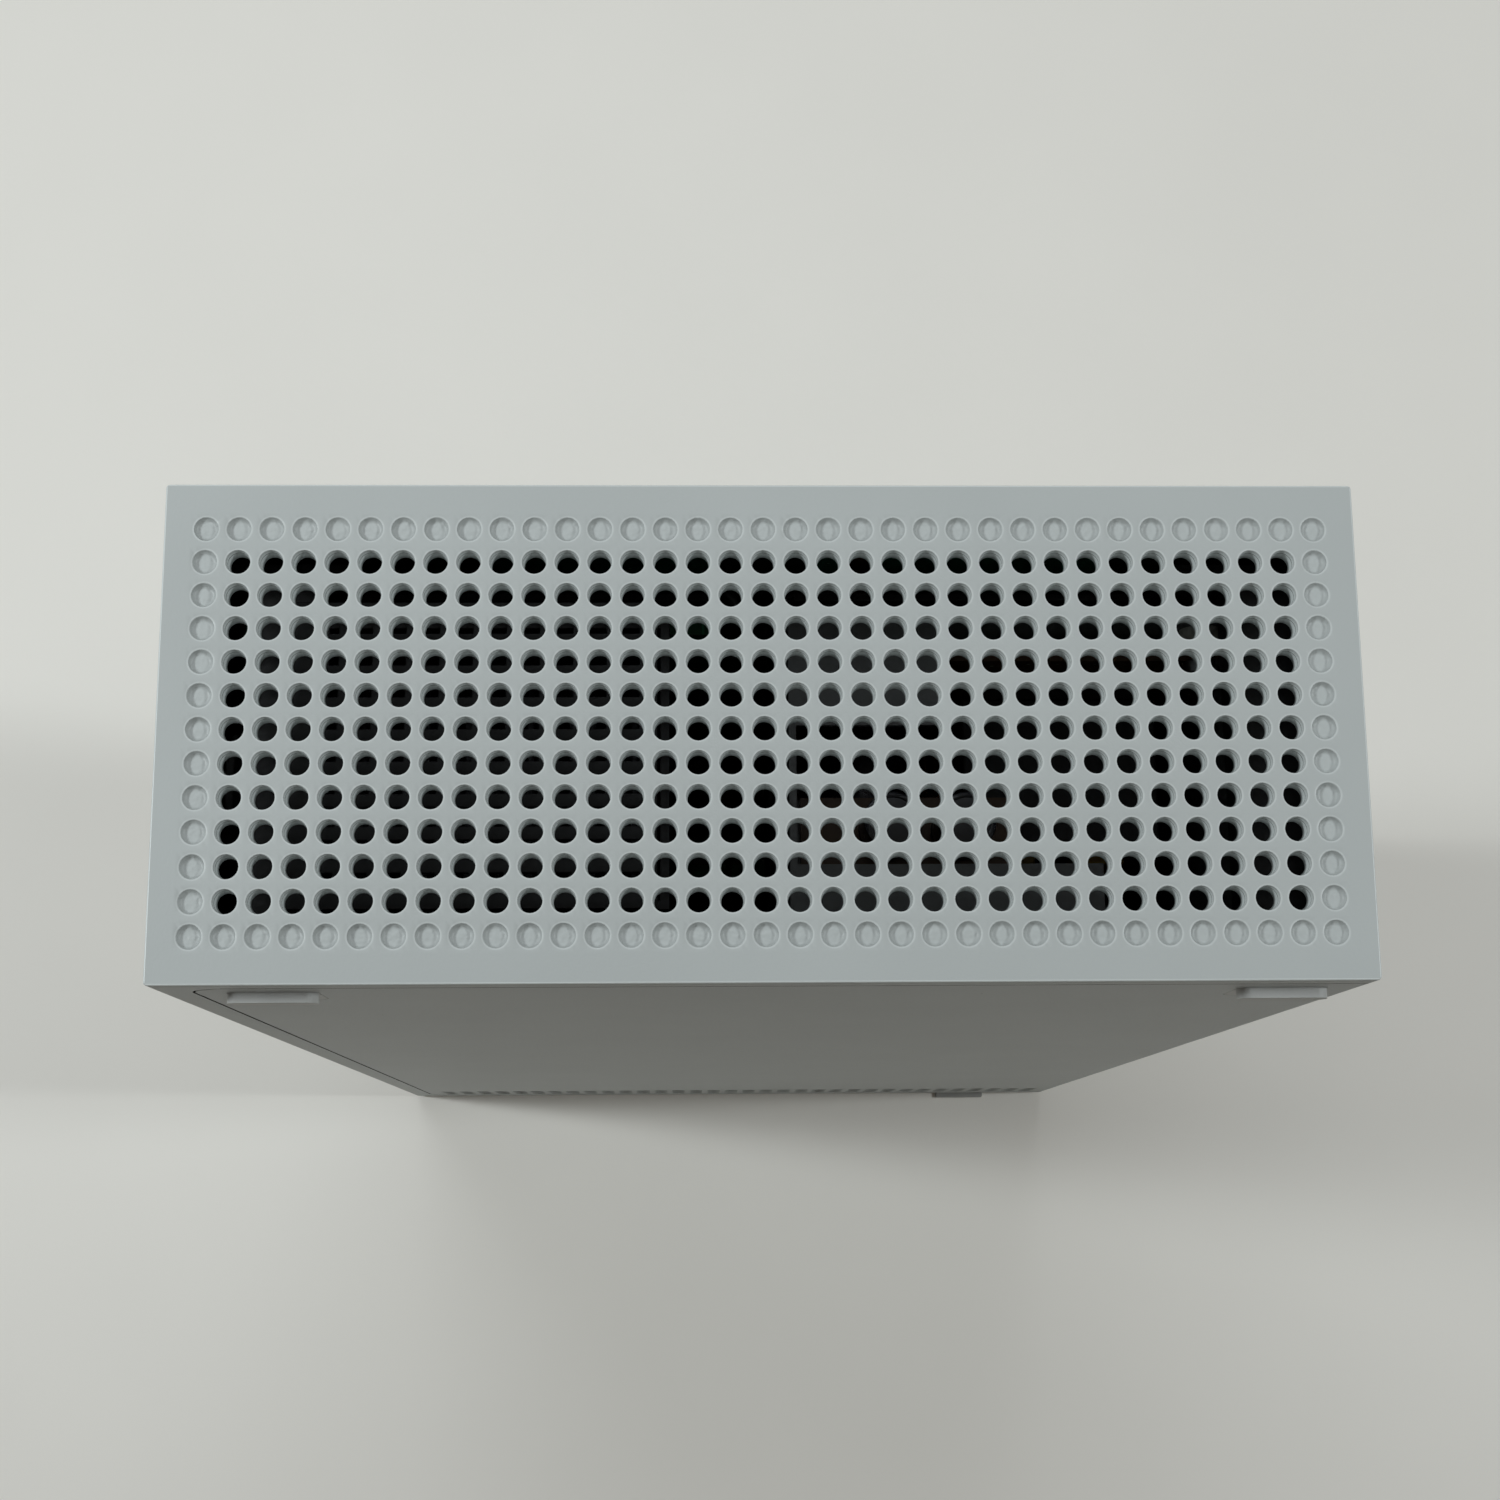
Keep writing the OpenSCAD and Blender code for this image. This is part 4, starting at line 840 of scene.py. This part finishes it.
def add_tube(vertices, faces, route, radius, sides=LEAD_SIDES):
    """A round tube along a route, closed at both ends."""
    level = Vector((0.31, 0.23, 0.92))
    angles = [2 * math.pi * k / sides for k in range(sides)]
    last = len(route) - 1
    rings = []
    for i, point in enumerate(route):
        ahead = (route[min(i + 1, last)] - route[max(i - 1, 0)]).normalized()
        level = (level - level.dot(ahead) * ahead).normalized()
        across = ahead.cross(level)
        rings.append([point + radius * (math.cos(a) * level + math.sin(a) * across)
                      for a in angles])
    add_rings(vertices, faces, rings)


def build_leads(name, routes, diameter, slot, material, *replaced):
    """One piece made of leads of a diameter, each given as its points, all in mm."""
    vertices, faces = [], []
    for points in routes:
        add_tube(vertices, faces, smooth_route(points), diameter / 2 * MM)
    piece = mesh_piece(name, vertices, faces)
    smooth(piece)
    place_piece(piece, "case", slot, material, *replaced)


def add_block(shell, low, high, radius):
    """A block between two corners, in mm, with rounded edges."""
    made = bmesh.ops.create_cube(shell, size=1.0)["verts"]
    for vertex in made:
        vertex.co = Vector([(low[i] + high[i]) / 2 + vertex.co[i] * (high[i] - low[i])
                            for i in range(3)]) * MM
    edges = list({edge for vertex in made for edge in vertex.link_edges})
    bevel(shell, edges, radius * MM, 2)


def build_blocks(name, blocks, radius, slot, material, *replaced):
    """One piece made of rounded blocks, each given as two corners in mm."""
    shell = bmesh.new()
    for low, high in blocks:
        add_block(shell, low, high, radius)
    piece = link_piece(name, shell)
    smooth(piece)
    place_piece(piece, "case", slot, material, *replaced)


def plug_blocks(low, high, across, ways, out):
    """A crimp housing: its body, and ribs between its ways along one axis, on side out. In mm."""
    proud, sunk, short, half = 0.25, 0.3, 0.8, 0.22
    blocks = [(low, high)]
    pitch = (high[across] - low[across]) / ways
    for way in range(ways):
        rib_low, rib_high = list(low), list(high)
        middle = low[across] + (way + 0.5) * pitch
        rib_low[across], rib_high[across] = middle - half * pitch, middle + half * pitch
        for axis in range(3):
            if out[axis]:
                rib_high[axis] = high[axis] + proud if out[axis] > 0 else low[axis]
                rib_low[axis] = high[axis] if out[axis] > 0 else low[axis] - proud
                rib_low[axis] -= sunk
                rib_high[axis] += sunk
        rib_low[2] += short
        rib_high[2] -= short
        blocks.append((tuple(rib_low), tuple(rib_high)))
    return blocks


# ---- Turned parts ----

TURN_SIDES = 40


def add_turned(vertices, faces, profile, base, axis, out, closed=True):
    """A solid of revolution: (radius, height) pairs in mm about a base point, along +-axis."""
    others = [other for other in range(3) if other != axis]
    rings = []
    for radius, height in profile:
        ring = []
        for k in range(TURN_SIDES):
            angle = 2 * math.pi * k / TURN_SIDES
            point = list(base)
            point[axis] += out * height
            point[others[0]] += radius * math.cos(angle)
            point[others[1]] += radius * math.sin(angle)
            ring.append(Vector(point) * MM)
        rings.append(ring)
    add_rings(vertices, faces, rings, closed)


def can_profile(radius, height):
    """An electrolytic capacitor in its sleeve: crimp groove low down, bare recessed end."""
    return [(radius - 0.35, 0), (radius, 0.3), (radius, 1.5), (radius - 0.35, 1.85),
            (radius - 0.35, 2.1), (radius, 2.45), (radius, height - 0.45),
            (radius - 0.12, height - 0.12), (radius - 0.5, height), (radius - 0.72, height - 0.05),
            (radius - 0.8, height - 0.35), (radius * 0.5, height - 0.3), (0.05, height - 0.3)]


def build_cans(name, cans, axis, out, colour, *replaced):
    """Sleeved capacitors of one node, each as (base point, diameter, height)."""
    vertices, faces = [], []
    for base, diameter, height in cans:
        add_turned(vertices, faces, can_profile(diameter / 2, height), base, axis, out)
    piece = mesh_piece(name, vertices, faces)
    smooth(piece)
    surface = Surface(name + "_finish", colour, 0.3).vary(2 * MM, 0.08)
    surface.relief(0.7 * MM, 0.01 * MM)
    for base, diameter, height in cans:
        reach = (diameter / 2 - 0.65) * MM
        low, high = [part * MM - reach for part in base], [part * MM + reach for part in base]
        ends = sorted((base[axis] + out * (height - 0.6), base[axis] + out * (height + 0.5)))
        low[axis], high[axis] = ends[0] * MM, ends[1] * MM
        surface.box_zone(low, high, (0.1, 0.102, 0.107), 0.3, 1.0)
    place_piece(piece, "case", "capacitor_sleeve", surface.finish(), *replaced)


# ---- Fan ----

BLADES = 7
HUB_R = 11.0
TIP_R = 18.0
BLADE_PITCH = math.radians(38)


def blade_ring(radius, spread_part, low, high):
    """Points round a blade's section at a radius: out along one side, back along the other."""
    stations = 8
    camber_depth = 1.3
    middle = (low + high) / 2
    sweep = 0.22 * spread_part ** 1.5
    ring = []
    for side in (1, -1):
        for k in range(stations + 1):
            u = k / stations if side > 0 else 1 - k / stations
            rise = (u - 0.5) * (high - low)
            camber = camber_depth * 4 * u * (1 - u)
            half = side * (0.16 + 0.42 * math.sqrt(4 * u * (1 - u))) * (1 - 0.35 * spread_part)
            along = -rise * math.tan(BLADE_PITCH) + (camber + half) * math.cos(BLADE_PITCH)
            angle = sweep + along / radius
            ring.append((radius, angle, middle + rise + half * math.sin(BLADE_PITCH)))
    return ring


def add_blade(vertices, faces, turn, centre, low, high):
    """A swept blade that starts a little inside the hub."""
    steps = 6
    root = 0.5
    rings = []
    for step in range(steps + 1):
        part = step / steps
        radius = HUB_R - root + part * (TIP_R - HUB_R + root)
        rings.append([Vector((centre[0] + distance * math.cos(turn + angle),
                              centre[1] + distance * math.sin(turn + angle), z)) * MM
                      for distance, angle, z in blade_ring(radius, part, low, high)])
    add_rings(vertices, faces, rings)


def box_mm(node):
    """A CAD node's lowest and highest corners, in mm."""
    low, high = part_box(node)
    return low / MM, high / MM


def build_fan():
    """The rotor: a hub open below with blades round it, on a short shaft."""
    low, high = box_mm("fan_rotor")
    frame_low, frame_high = box_mm("fan_frame")
    centre = ((frame_low.x + frame_high.x) / 2, (frame_low.y + frame_high.y) / 2)
    base = (*centre, low.z)
    tall = high.z - low.z
    inset = 0.7
    outside = [(9.75, 0), (10.85, 0), (HUB_R, 0.15), (HUB_R, tall - 0.9), (10.75, tall - 0.3),
               (10.2, tall), (8.2, tall), (8.0, tall - 0.25), (0.05, tall - 0.25)]
    inside = [(0.05, tall - 1.4), (9.2, tall - 1.4), (9.7, tall - 1.9), (9.7, 0.1), (9.75, 0)]
    shaft = [(0.7, 0.8), (1.0, 1.1), (1.0, tall - 1.2)]
    vertices, faces = [], []
    for wall in (outside, inside):
        add_turned(vertices, faces, wall, base, 2, 1, closed=False)
    add_turned(vertices, faces, shaft, base, 2, 1)
    for blade in range(BLADES):
        turn = 2 * math.pi * blade / BLADES
        add_blade(vertices, faces, turn, centre, low.z + inset, high.z - inset)
    piece = mesh_piece("fan_impeller", vertices, faces, 1e-6)
    smooth(piece, 40)
    material = dark_plastic("fan_plastic", (0.012, 0.012, 0.013), 0.35).finish()
    place_piece(piece, "fan", "fan_plastic", material, "fan_rotor")


# ---- Small parts inside ----

def supply_top():
    """The face of the supply board that its parts stand on, in mm."""
    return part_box("supply_transformer")[1].y / MM


def board_face():
    """The face of the main board that its parts stand on, in mm."""
    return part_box("main_board")[0].y / MM


def build_fan_lead(black, nylon):
    face = board_face()
    fan_low, fan_high = box_mm("fan_frame")
    exit_x = (fan_low.x + fan_high.x) / 2 + 20.9
    build_leads("fan_cord", [[(exit_x, 12, 131), (-10, 12.4, 127), (-7, 13.4, 120),
                              (-7, 14.6, 112), (-7, 14.8, 108.2)]], 2, "lead_black", black,
                "fan_lead")
    build_blocks("fan_plug", plug_blocks((-11, face - 6, 102), (-3, face, 108), 0, 3, (0, -1, 0)),
                 0.3, "button_plastic", nylon, "fan_lead")


def build_antenna_leads(black):
    """Four leads, from two side and two rear aerials to the radio card."""
    shell_low, shell_high = box_mm("main_shell")
    left, back = shell_low.x + 2.4, shell_high.y - 2.4
    end = board_face() - 5.3
    build_leads("antenna_cords", [
        [(left + 2, 2, 74), (-66, 3, 72), (-60, 5, 66), (-46, 7, 60), (-30, 8, 57),
         (-23, 10, 56), (-22, 12, 56), (-22, end, 56)],
        [(left + 2, 2, 142), (-67, 1, 136), (-65, 0, 122), (-60, 2, 106), (-46, 6, 92),
         (-31, 8, 83), (-23, 10, 80), (-22, 12, 80), (-22, end, 80)],
        [(-10, back - 2, 240), (-4, 26, 246), (-1.5, 20, 240), (-1.5, 12, 224), (-2, 6, 190),
         (-2, 4, 150), (-4, 3, 112), (-12, 6, 92), (-20, 9, 76), (-22, 12, 72), (-22, end, 72)],
        [(12, back - 2, 240), (3, 26.4, 240), (1.5, 20, 232), (1.5, 12, 216), (1.5, 4, 186),
         (1, -1, 148), (-2, -1, 110), (-10, 3, 84), (-19, 8, 67), (-22, 11.5, 64),
         (-22, end, 64)]], 1.3, "lead_black", black, "antenna_leads")


def build_mains_leads():
    """Two leads from the inlet's pins to the supply board."""
    inlet_low, inlet_high = box_mm("mains_inlet")
    z = (inlet_low.z + inlet_high.z) / 2
    end = supply_top() - 0.1
    build_leads("mains_lead_brown", [
        [(58, 0, z + 4.3), (54, 1, z + 4.6), (49, 6, z + 1), (47, 11, z - 1),
         (47, end, z - 1.2)]], 2.2, "lead_brown",
        jacket("lead_brown", (0.19, 0.05, 0.026)), "supply_leads")
    build_leads("mains_lead_blue", [
        [(58, 0, z - 4.3), (54, 1, z - 4.6), (49, 6, z - 6), (47, 11, z - 7),
         (47, end, z - 7.2)]], 2.2, "lead_brown",
        jacket("lead_blue", (0.015, 0.05, 0.18)), "supply_leads")


def build_supply_leads(nylon):
    """Two leads from the supply board, and their plug on the main board."""
    face = board_face()
    end = supply_top() - 0.1
    rest = [(13, 161.4), (12.2, 157), (14.2, 152), (16.2, 148), (16.4, 140.2)]
    for x, name, colour in ((20, "red", (0.3, 0.03, 0.02)), (24, "black", (0.014, 0.014, 0.015))):
        route = [(x, end, 162)] + [(x, y, z) for y, z in rest]
        build_leads("supply_lead_" + name, [route], 1.8, "lead_brown",
                    jacket("lead_" + name + "_low", colour), "supply_leads")
    build_blocks("supply_plug",
                 plug_blocks((17, face - 6, 132), (27, face, 140), 0, 2, (0, -1, 0)), 0.3,
                 "button_plastic", nylon, "supply_leads")


def build_front_cable(nylon):
    """Three wires from the front board to the main board, with a plug at each end."""
    face = board_face()
    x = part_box("front_board")[1].x / MM
    build_leads("front_ribbon", [
        [(x + 2, 2 + 2 * i, 207.9), (x + 2, 2.4 + 2 * i, 202), (x + 1.5, 5 + 1.6 * i, 190),
         (-62 + 0.6 * i, 9 + i, 178), (-64 + 2 * i, 14.5, 170), (-64 + 2 * i, 16.6, 165.1)]
        for i in range(3)], 1.1, "ribbon_grey", jacket("ribbon_grey", (0.3, 0.31, 0.33)),
        "front_cable")
    build_blocks("front_plugs",
                 plug_blocks((x, -1, 208), (x + 4, 9, 213), 1, 3, (1, 0, 0))
                 + plug_blocks((-66, face - 5, 160), (-58, face, 165), 0, 3, (0, -1, 0)), 0.3,
                 "button_plastic", nylon, "front_cable")


def build_inner_leads():
    nylon = moulded("nylon", (0.72, 0.71, 0.64), 0.4).finish(Specular_IOR_Level=0.4)
    black = jacket("lead_black", (0.014, 0.014, 0.015))
    build_fan_lead(black, nylon)
    build_antenna_leads(black)
    build_mains_leads()
    build_supply_leads(nylon)
    build_front_cable(nylon)


def build_capacitors():
    face, top = board_face(), supply_top()
    supply_sleeve = (0.008, 0.009, 0.018)
    places = ((12, 100), (12, 112), (12, 124), (-50, 112), (-50, 100))
    build_cans("board_cans", [((x, face, z), 8, 12) for x, z in places], 1, -1,
               (0.01, 0.01, 0.02), "board_capacitors")
    tall = ((16, 232, 10, 20), (16, 218, 10, 20), (52, 190, 16, 28))
    build_cans("supply_cans", [((x, top, z), wide, high) for x, z, wide, high in tall], 1, -1,
               supply_sleeve, "supply_capacitors")
    filter_y, filter_z = -7, 241
    filter_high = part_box("supply_capacitors")[1].z / MM - filter_z
    build_cans("filter_cans", [((x, filter_y, filter_z), 8, filter_high) for x in (18, 28)], 2, 1,
               supply_sleeve, "supply_capacitors")
    yellow = moulded("film_yellow", (0.5, 0.36, 0.03), 0.35).finish()
    build_blocks("film_capacitor", [((30, top - 12, 172), (44, top, 181))], 0.9,
                 "capacitor_sleeve", yellow, "supply_capacitors")


def build_choke_winding():
    """Enamelled copper turns round the ring core of the choke."""
    top = supply_top()
    middle_x, middle_z = 22, 190
    turns = 22
    vertices, faces = [], []
    for turn in range(turns):
        if turn in (0, turns // 2):
            continue
        angle = 2 * math.pi * turn / turns
        path = [(3.45, top - 0.3), (3.45, top - 8.4), (3.8, top - 9.25), (4.6, top - 9.5),
                (8.4, top - 9.5), (9.2, top - 9.25), (9.5, top - 8.4), (9.5, top - 0.3)]
        route = [Vector((middle_x + r * math.cos(angle), y, middle_z + r * math.sin(angle))) * MM
                 for r, y in path]
        add_tube(vertices, faces, route, 0.42 * MM, 10)
    piece = mesh_piece("choke_winding", vertices, faces)
    smooth(piece)
    copper = Surface("copper_enamel", (0.55, 0.2, 0.07), 0.25, 0.8).vary(2 * MM, 0.12)
    copper.relief(0.4 * MM, 0.01 * MM)
    place_piece(piece, "case", "contact_gold", copper.finish(Coat_Weight=0.6))


def build_base_rubbers():
    """The two pads under the base. The right one has a tab that shows in front of the cover."""
    low, high = box_mm("base_pads")
    width = 19
    tab_x, tab_w = 55.5, 11.4
    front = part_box("side_feet")[0].y / MM + 0.2
    blocks = [((x, low.y, 0), (x + width, high.y, high.z)) for x in (low.x, high.x - width)]
    blocks.append(((tab_x - tab_w / 2, front, 0), (tab_x + tab_w / 2, low.y + 1, 1.3)))
    build_blocks("base_rubbers", blocks, 0.4, "pad_rubber",
                 rubber("pad_rubber", (0.3, 0.301, 0.29)), "base_pads")


def build_chip_legs():
    """Tinned legs along two sides of each board chip, in mm."""
    face = board_face()
    pitch = 1.1
    blocks = []
    for x, z, wide, high in ((-2, 52, 14, 10), (-2, 66, 14, 10), (16, 59, 12, 18),
                             (16, 34, 13, 13), (-40, 30, 10, 10)):
        count = int(high / pitch) - 1
        for side in (-1, 1):
            for leg in range(count):
                z_mid = z + (leg - (count - 1) / 2) * pitch
                inner, outer = x + side * (wide / 2 - 0.2), x + side * (wide / 2 + 0.9)
                blocks.append(((min(inner, outer), face - 0.22, z_mid - 0.2),
                               (max(inner, outer), face, z_mid + 0.2)))
    build_blocks("chip_legs", blocks, 0.05, "shield_steel", tinplate("leg_tin").finish())


# ---- Carried-over CAD nodes ----

SCREWS = ("cover_screws", "chassis_screws", "board_screws", "supply_screws",
          "front_board_screws", "heat_sink_screws", "fan_screws")


def paint(material, *names):
    for name in names:
        nodes[name].data.materials.clear()
        nodes[name].data.materials.append(material)


def paint_case_parts():
    paint(rubber("foot_rubber", (0.5, 0.51, 0.5), 0.6), "side_feet")
    button = moulded("button_plastic", scaled(WHITE, 0.97), 0.42).finish(Specular_IOR_Level=0.45)
    paint(button, "power_button", "pair_button")
    paint(light_pipe_resin("light_pipe_clear"), "light_pipe")
    paint(brushed("screw_steel", (0.5, 0.5, 0.51), 0.35, "y").finish(), *SCREWS)


def paint_inside():
    paint(painted_steel("black_steel", (0.014, 0.014, 0.015)).finish(), "chassis")
    paint(painted_steel("supply_steel", (0.19, 0.195, 0.2)).finish(), "supply_case")
    inner = dark_plastic("inner_plastic", (0.007, 0.0075, 0.008), 0.5).finish()
    paint(inner, "exhaust_grille", "air_duct", "fan_frame")
    paint(brushed("sink_aluminium", (0.09, 0.093, 0.1), 0.45, "z").finish(), "heat_sink")
    paint(rubber("thermal_rubber", (0.25, 0.3, 0.42), 0.6), "thermal_pad")
    paint(dark_plastic("chip_plastic", (0.02, 0.02, 0.022), 0.5).finish(), "processor",
          "memory_chips")
    paint(dark_plastic("ferrite", (0.035, 0.036, 0.038), 0.6).finish(), "board_coils")
    paint(circuit("board_green", (0.012, 0.1, 0.045), "XZ").finish(), "main_board")
    paint(circuit("front_board_green", (0.012, 0.1, 0.045), "YZ").finish(), "front_board")
    paint(tinplate("shield_steel").finish(), "radio_shield")
    paint(dark_plastic("inlet_black").finish(), "mains_inlet")
    paint(brushed("pin_metal", (0.66, 0.66, 0.64), 0.28, "x").finish(), "inlet_pins")
    paint(moulded("wan_yellow", (0.7, 0.5, 0.07), 0.4).finish(), "wan_port")
    paint(moulded("lan_grey", (0.07, 0.073, 0.078), 0.42).finish(), "lan_port_block")
    paint(brushed("contact_gold", (0.83, 0.6, 0.25), 0.22, "x").finish(), "jack_contacts")
    paint(moulded("reset_plastic", (0.03, 0.03, 0.03), 0.4).finish(), "reset_button")
    paint(tinplate("switch_body").finish(), "reset_switch")
    paint(moulded("led_resin", (0.8, 0.8, 0.62), 0.25).finish(), "status_led")


def paint_radio_card():
    """The card, its edge connector and its gold aerial contacts."""
    low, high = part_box("radio_card")
    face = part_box("main_board")[0].y
    card = circuit("card_blue", (0.01, 0.05, 0.14), "XZ")
    card.box_zone(low, (high.x, high.y, low.z + 5.95 * MM), (0.02, 0.02, 0.022), 0.45)
    card.box_zone((low.x, face - 6 * MM, 48 * MM), (high.x, face - 4.05 * MM, high.z),
                  (0.75, 0.55, 0.22), 0.3, 1.0)
    paint(card.finish(), "radio_card")


def paint_usb():
    """The steel shell and the pale tongue in it."""
    low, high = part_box("usb_port")
    usb = tinplate("usb_steel")
    usb.box_zone((low.x + 0.9 * MM, low.y + 0.8 * MM, low.z + 0.5 * MM),
                 (high.x - 1.1 * MM, low.y + 2.8 * MM, high.z - 0.5 * MM), (0.7, 0.7, 0.66), 0.4)
    paint(usb.finish(), "usb_port")


def paint_antennas():
    """Copper shapes, which stand 0.1 mm proud of their boards."""
    low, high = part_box("antenna_plates")
    plates = circuit("antenna_green", (0.012, 0.085, 0.045), "XZ")
    proud = 0.05 * MM
    copper = (0.7, 0.34, 0.14)
    side = (low.x + MM + proud, -12 * MM, low.z), (low.x + 3 * MM, 12 * MM, 200 * MM)
    rear = (-46 * MM, high.y - 3 * MM, 200 * MM), (48 * MM, high.y - MM - proud, high.z)
    plates.box_zone(*side, copper, 0.3, 1.0).box_zone(*rear, copper, 0.3, 1.0)
    paint(plates.finish(), "antenna_plates")


def paint_supply_board():
    """The laminate, and the pale insulating sheet behind it."""
    low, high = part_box("supply_board")
    laminate = circuit("supply_board_brown", (0.085, 0.042, 0.016), "XZ")
    laminate.box_zone((low.x - MM, high.y - 2.99 * MM, low.z - MM), high + Vector((MM, MM, MM)),
                      (0.7, 0.7, 0.64), 0.5)
    paint(laminate.finish(), "supply_board")


def paint_transformer():
    """The ferrite, its yellow winding tape and the choke's green core."""
    low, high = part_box("supply_transformer")
    core = Surface("ferrite", (0.02, 0.02, 0.021), 0.6).vary(4 * MM, 0.15)
    core.relief(0.3 * MM, 0.02 * MM)
    for x in (34.1, 47.1):
        core.box_zone((x * MM, low.y - MM, 211.1 * MM),
                      ((x + 6.8) * MM, high.y - 1.9 * MM, 226.9 * MM), (0.62, 0.42, 0.06), 0.3)
    core.box_zone((12 * MM, low.y, 180 * MM), (31.5 * MM, high.y + MM, 200 * MM),
                  (0.02, 0.055, 0.03), 0.4)
    paint(core.finish(), "supply_transformer")


def paint_switches():
    """Black bodies with a steel plate round the plunger."""
    low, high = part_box("button_switches")
    switch = dark_plastic("switch_body", (0.02, 0.02, 0.02), 0.45)
    switch.box_zone((low.x + 0.98 * MM, -4 * MM, low.z - MM),
                    (low.x + 1.45 * MM, 4 * MM, high.z + MM), (0.6, 0.61, 0.62), 0.3, 1.0)
    paint(switch.finish(), "button_switches")


def paint_mixed_nodes():
    """Nodes that hold more than one material, told apart by place."""
    paint_radio_card()
    paint_usb()
    paint_antennas()
    paint_supply_board()
    paint_transformer()
    paint_switches()


SOFT_EDGES = {
    0.4: ("supply_transformer",),
    0.35: ("air_duct", "fan_frame"),
    0.3: ("power_button", "pair_button", "light_pipe", "mains_inlet", "status_led"),
    0.25: ("side_feet", "wan_port", "lan_port_block", "exhaust_grille", "supply_case", "chassis",
           "board_coils", "button_switches", "reset_switch", "reset_button", "inlet_pins"),
    0.2: ("memory_chips", "processor", "thermal_pad", "heat_sink", "main_board", "front_board",
          "supply_board", "radio_card", *SCREWS),
    0.1: ("usb_port", "radio_shield", "jack_contacts"),
}


def soften_nodes():
    """Rounds each carried-over node by its radius in mm, the wider ones with more segments."""
    for radius, names in SOFT_EDGES.items():
        for name in names:
            soften(name, radius * MM, 3 if radius > 0.2 else 2)


# ---- The scene ----

add_camera()
light_scene()
build_floor()
build_grille()
build_case()
build_fan()
build_inner_leads()
build_capacitors()
build_choke_winding()
build_chip_legs()
build_base_rubbers()
soften_nodes()
paint_case_parts()
paint_inside()
paint_mixed_nodes()
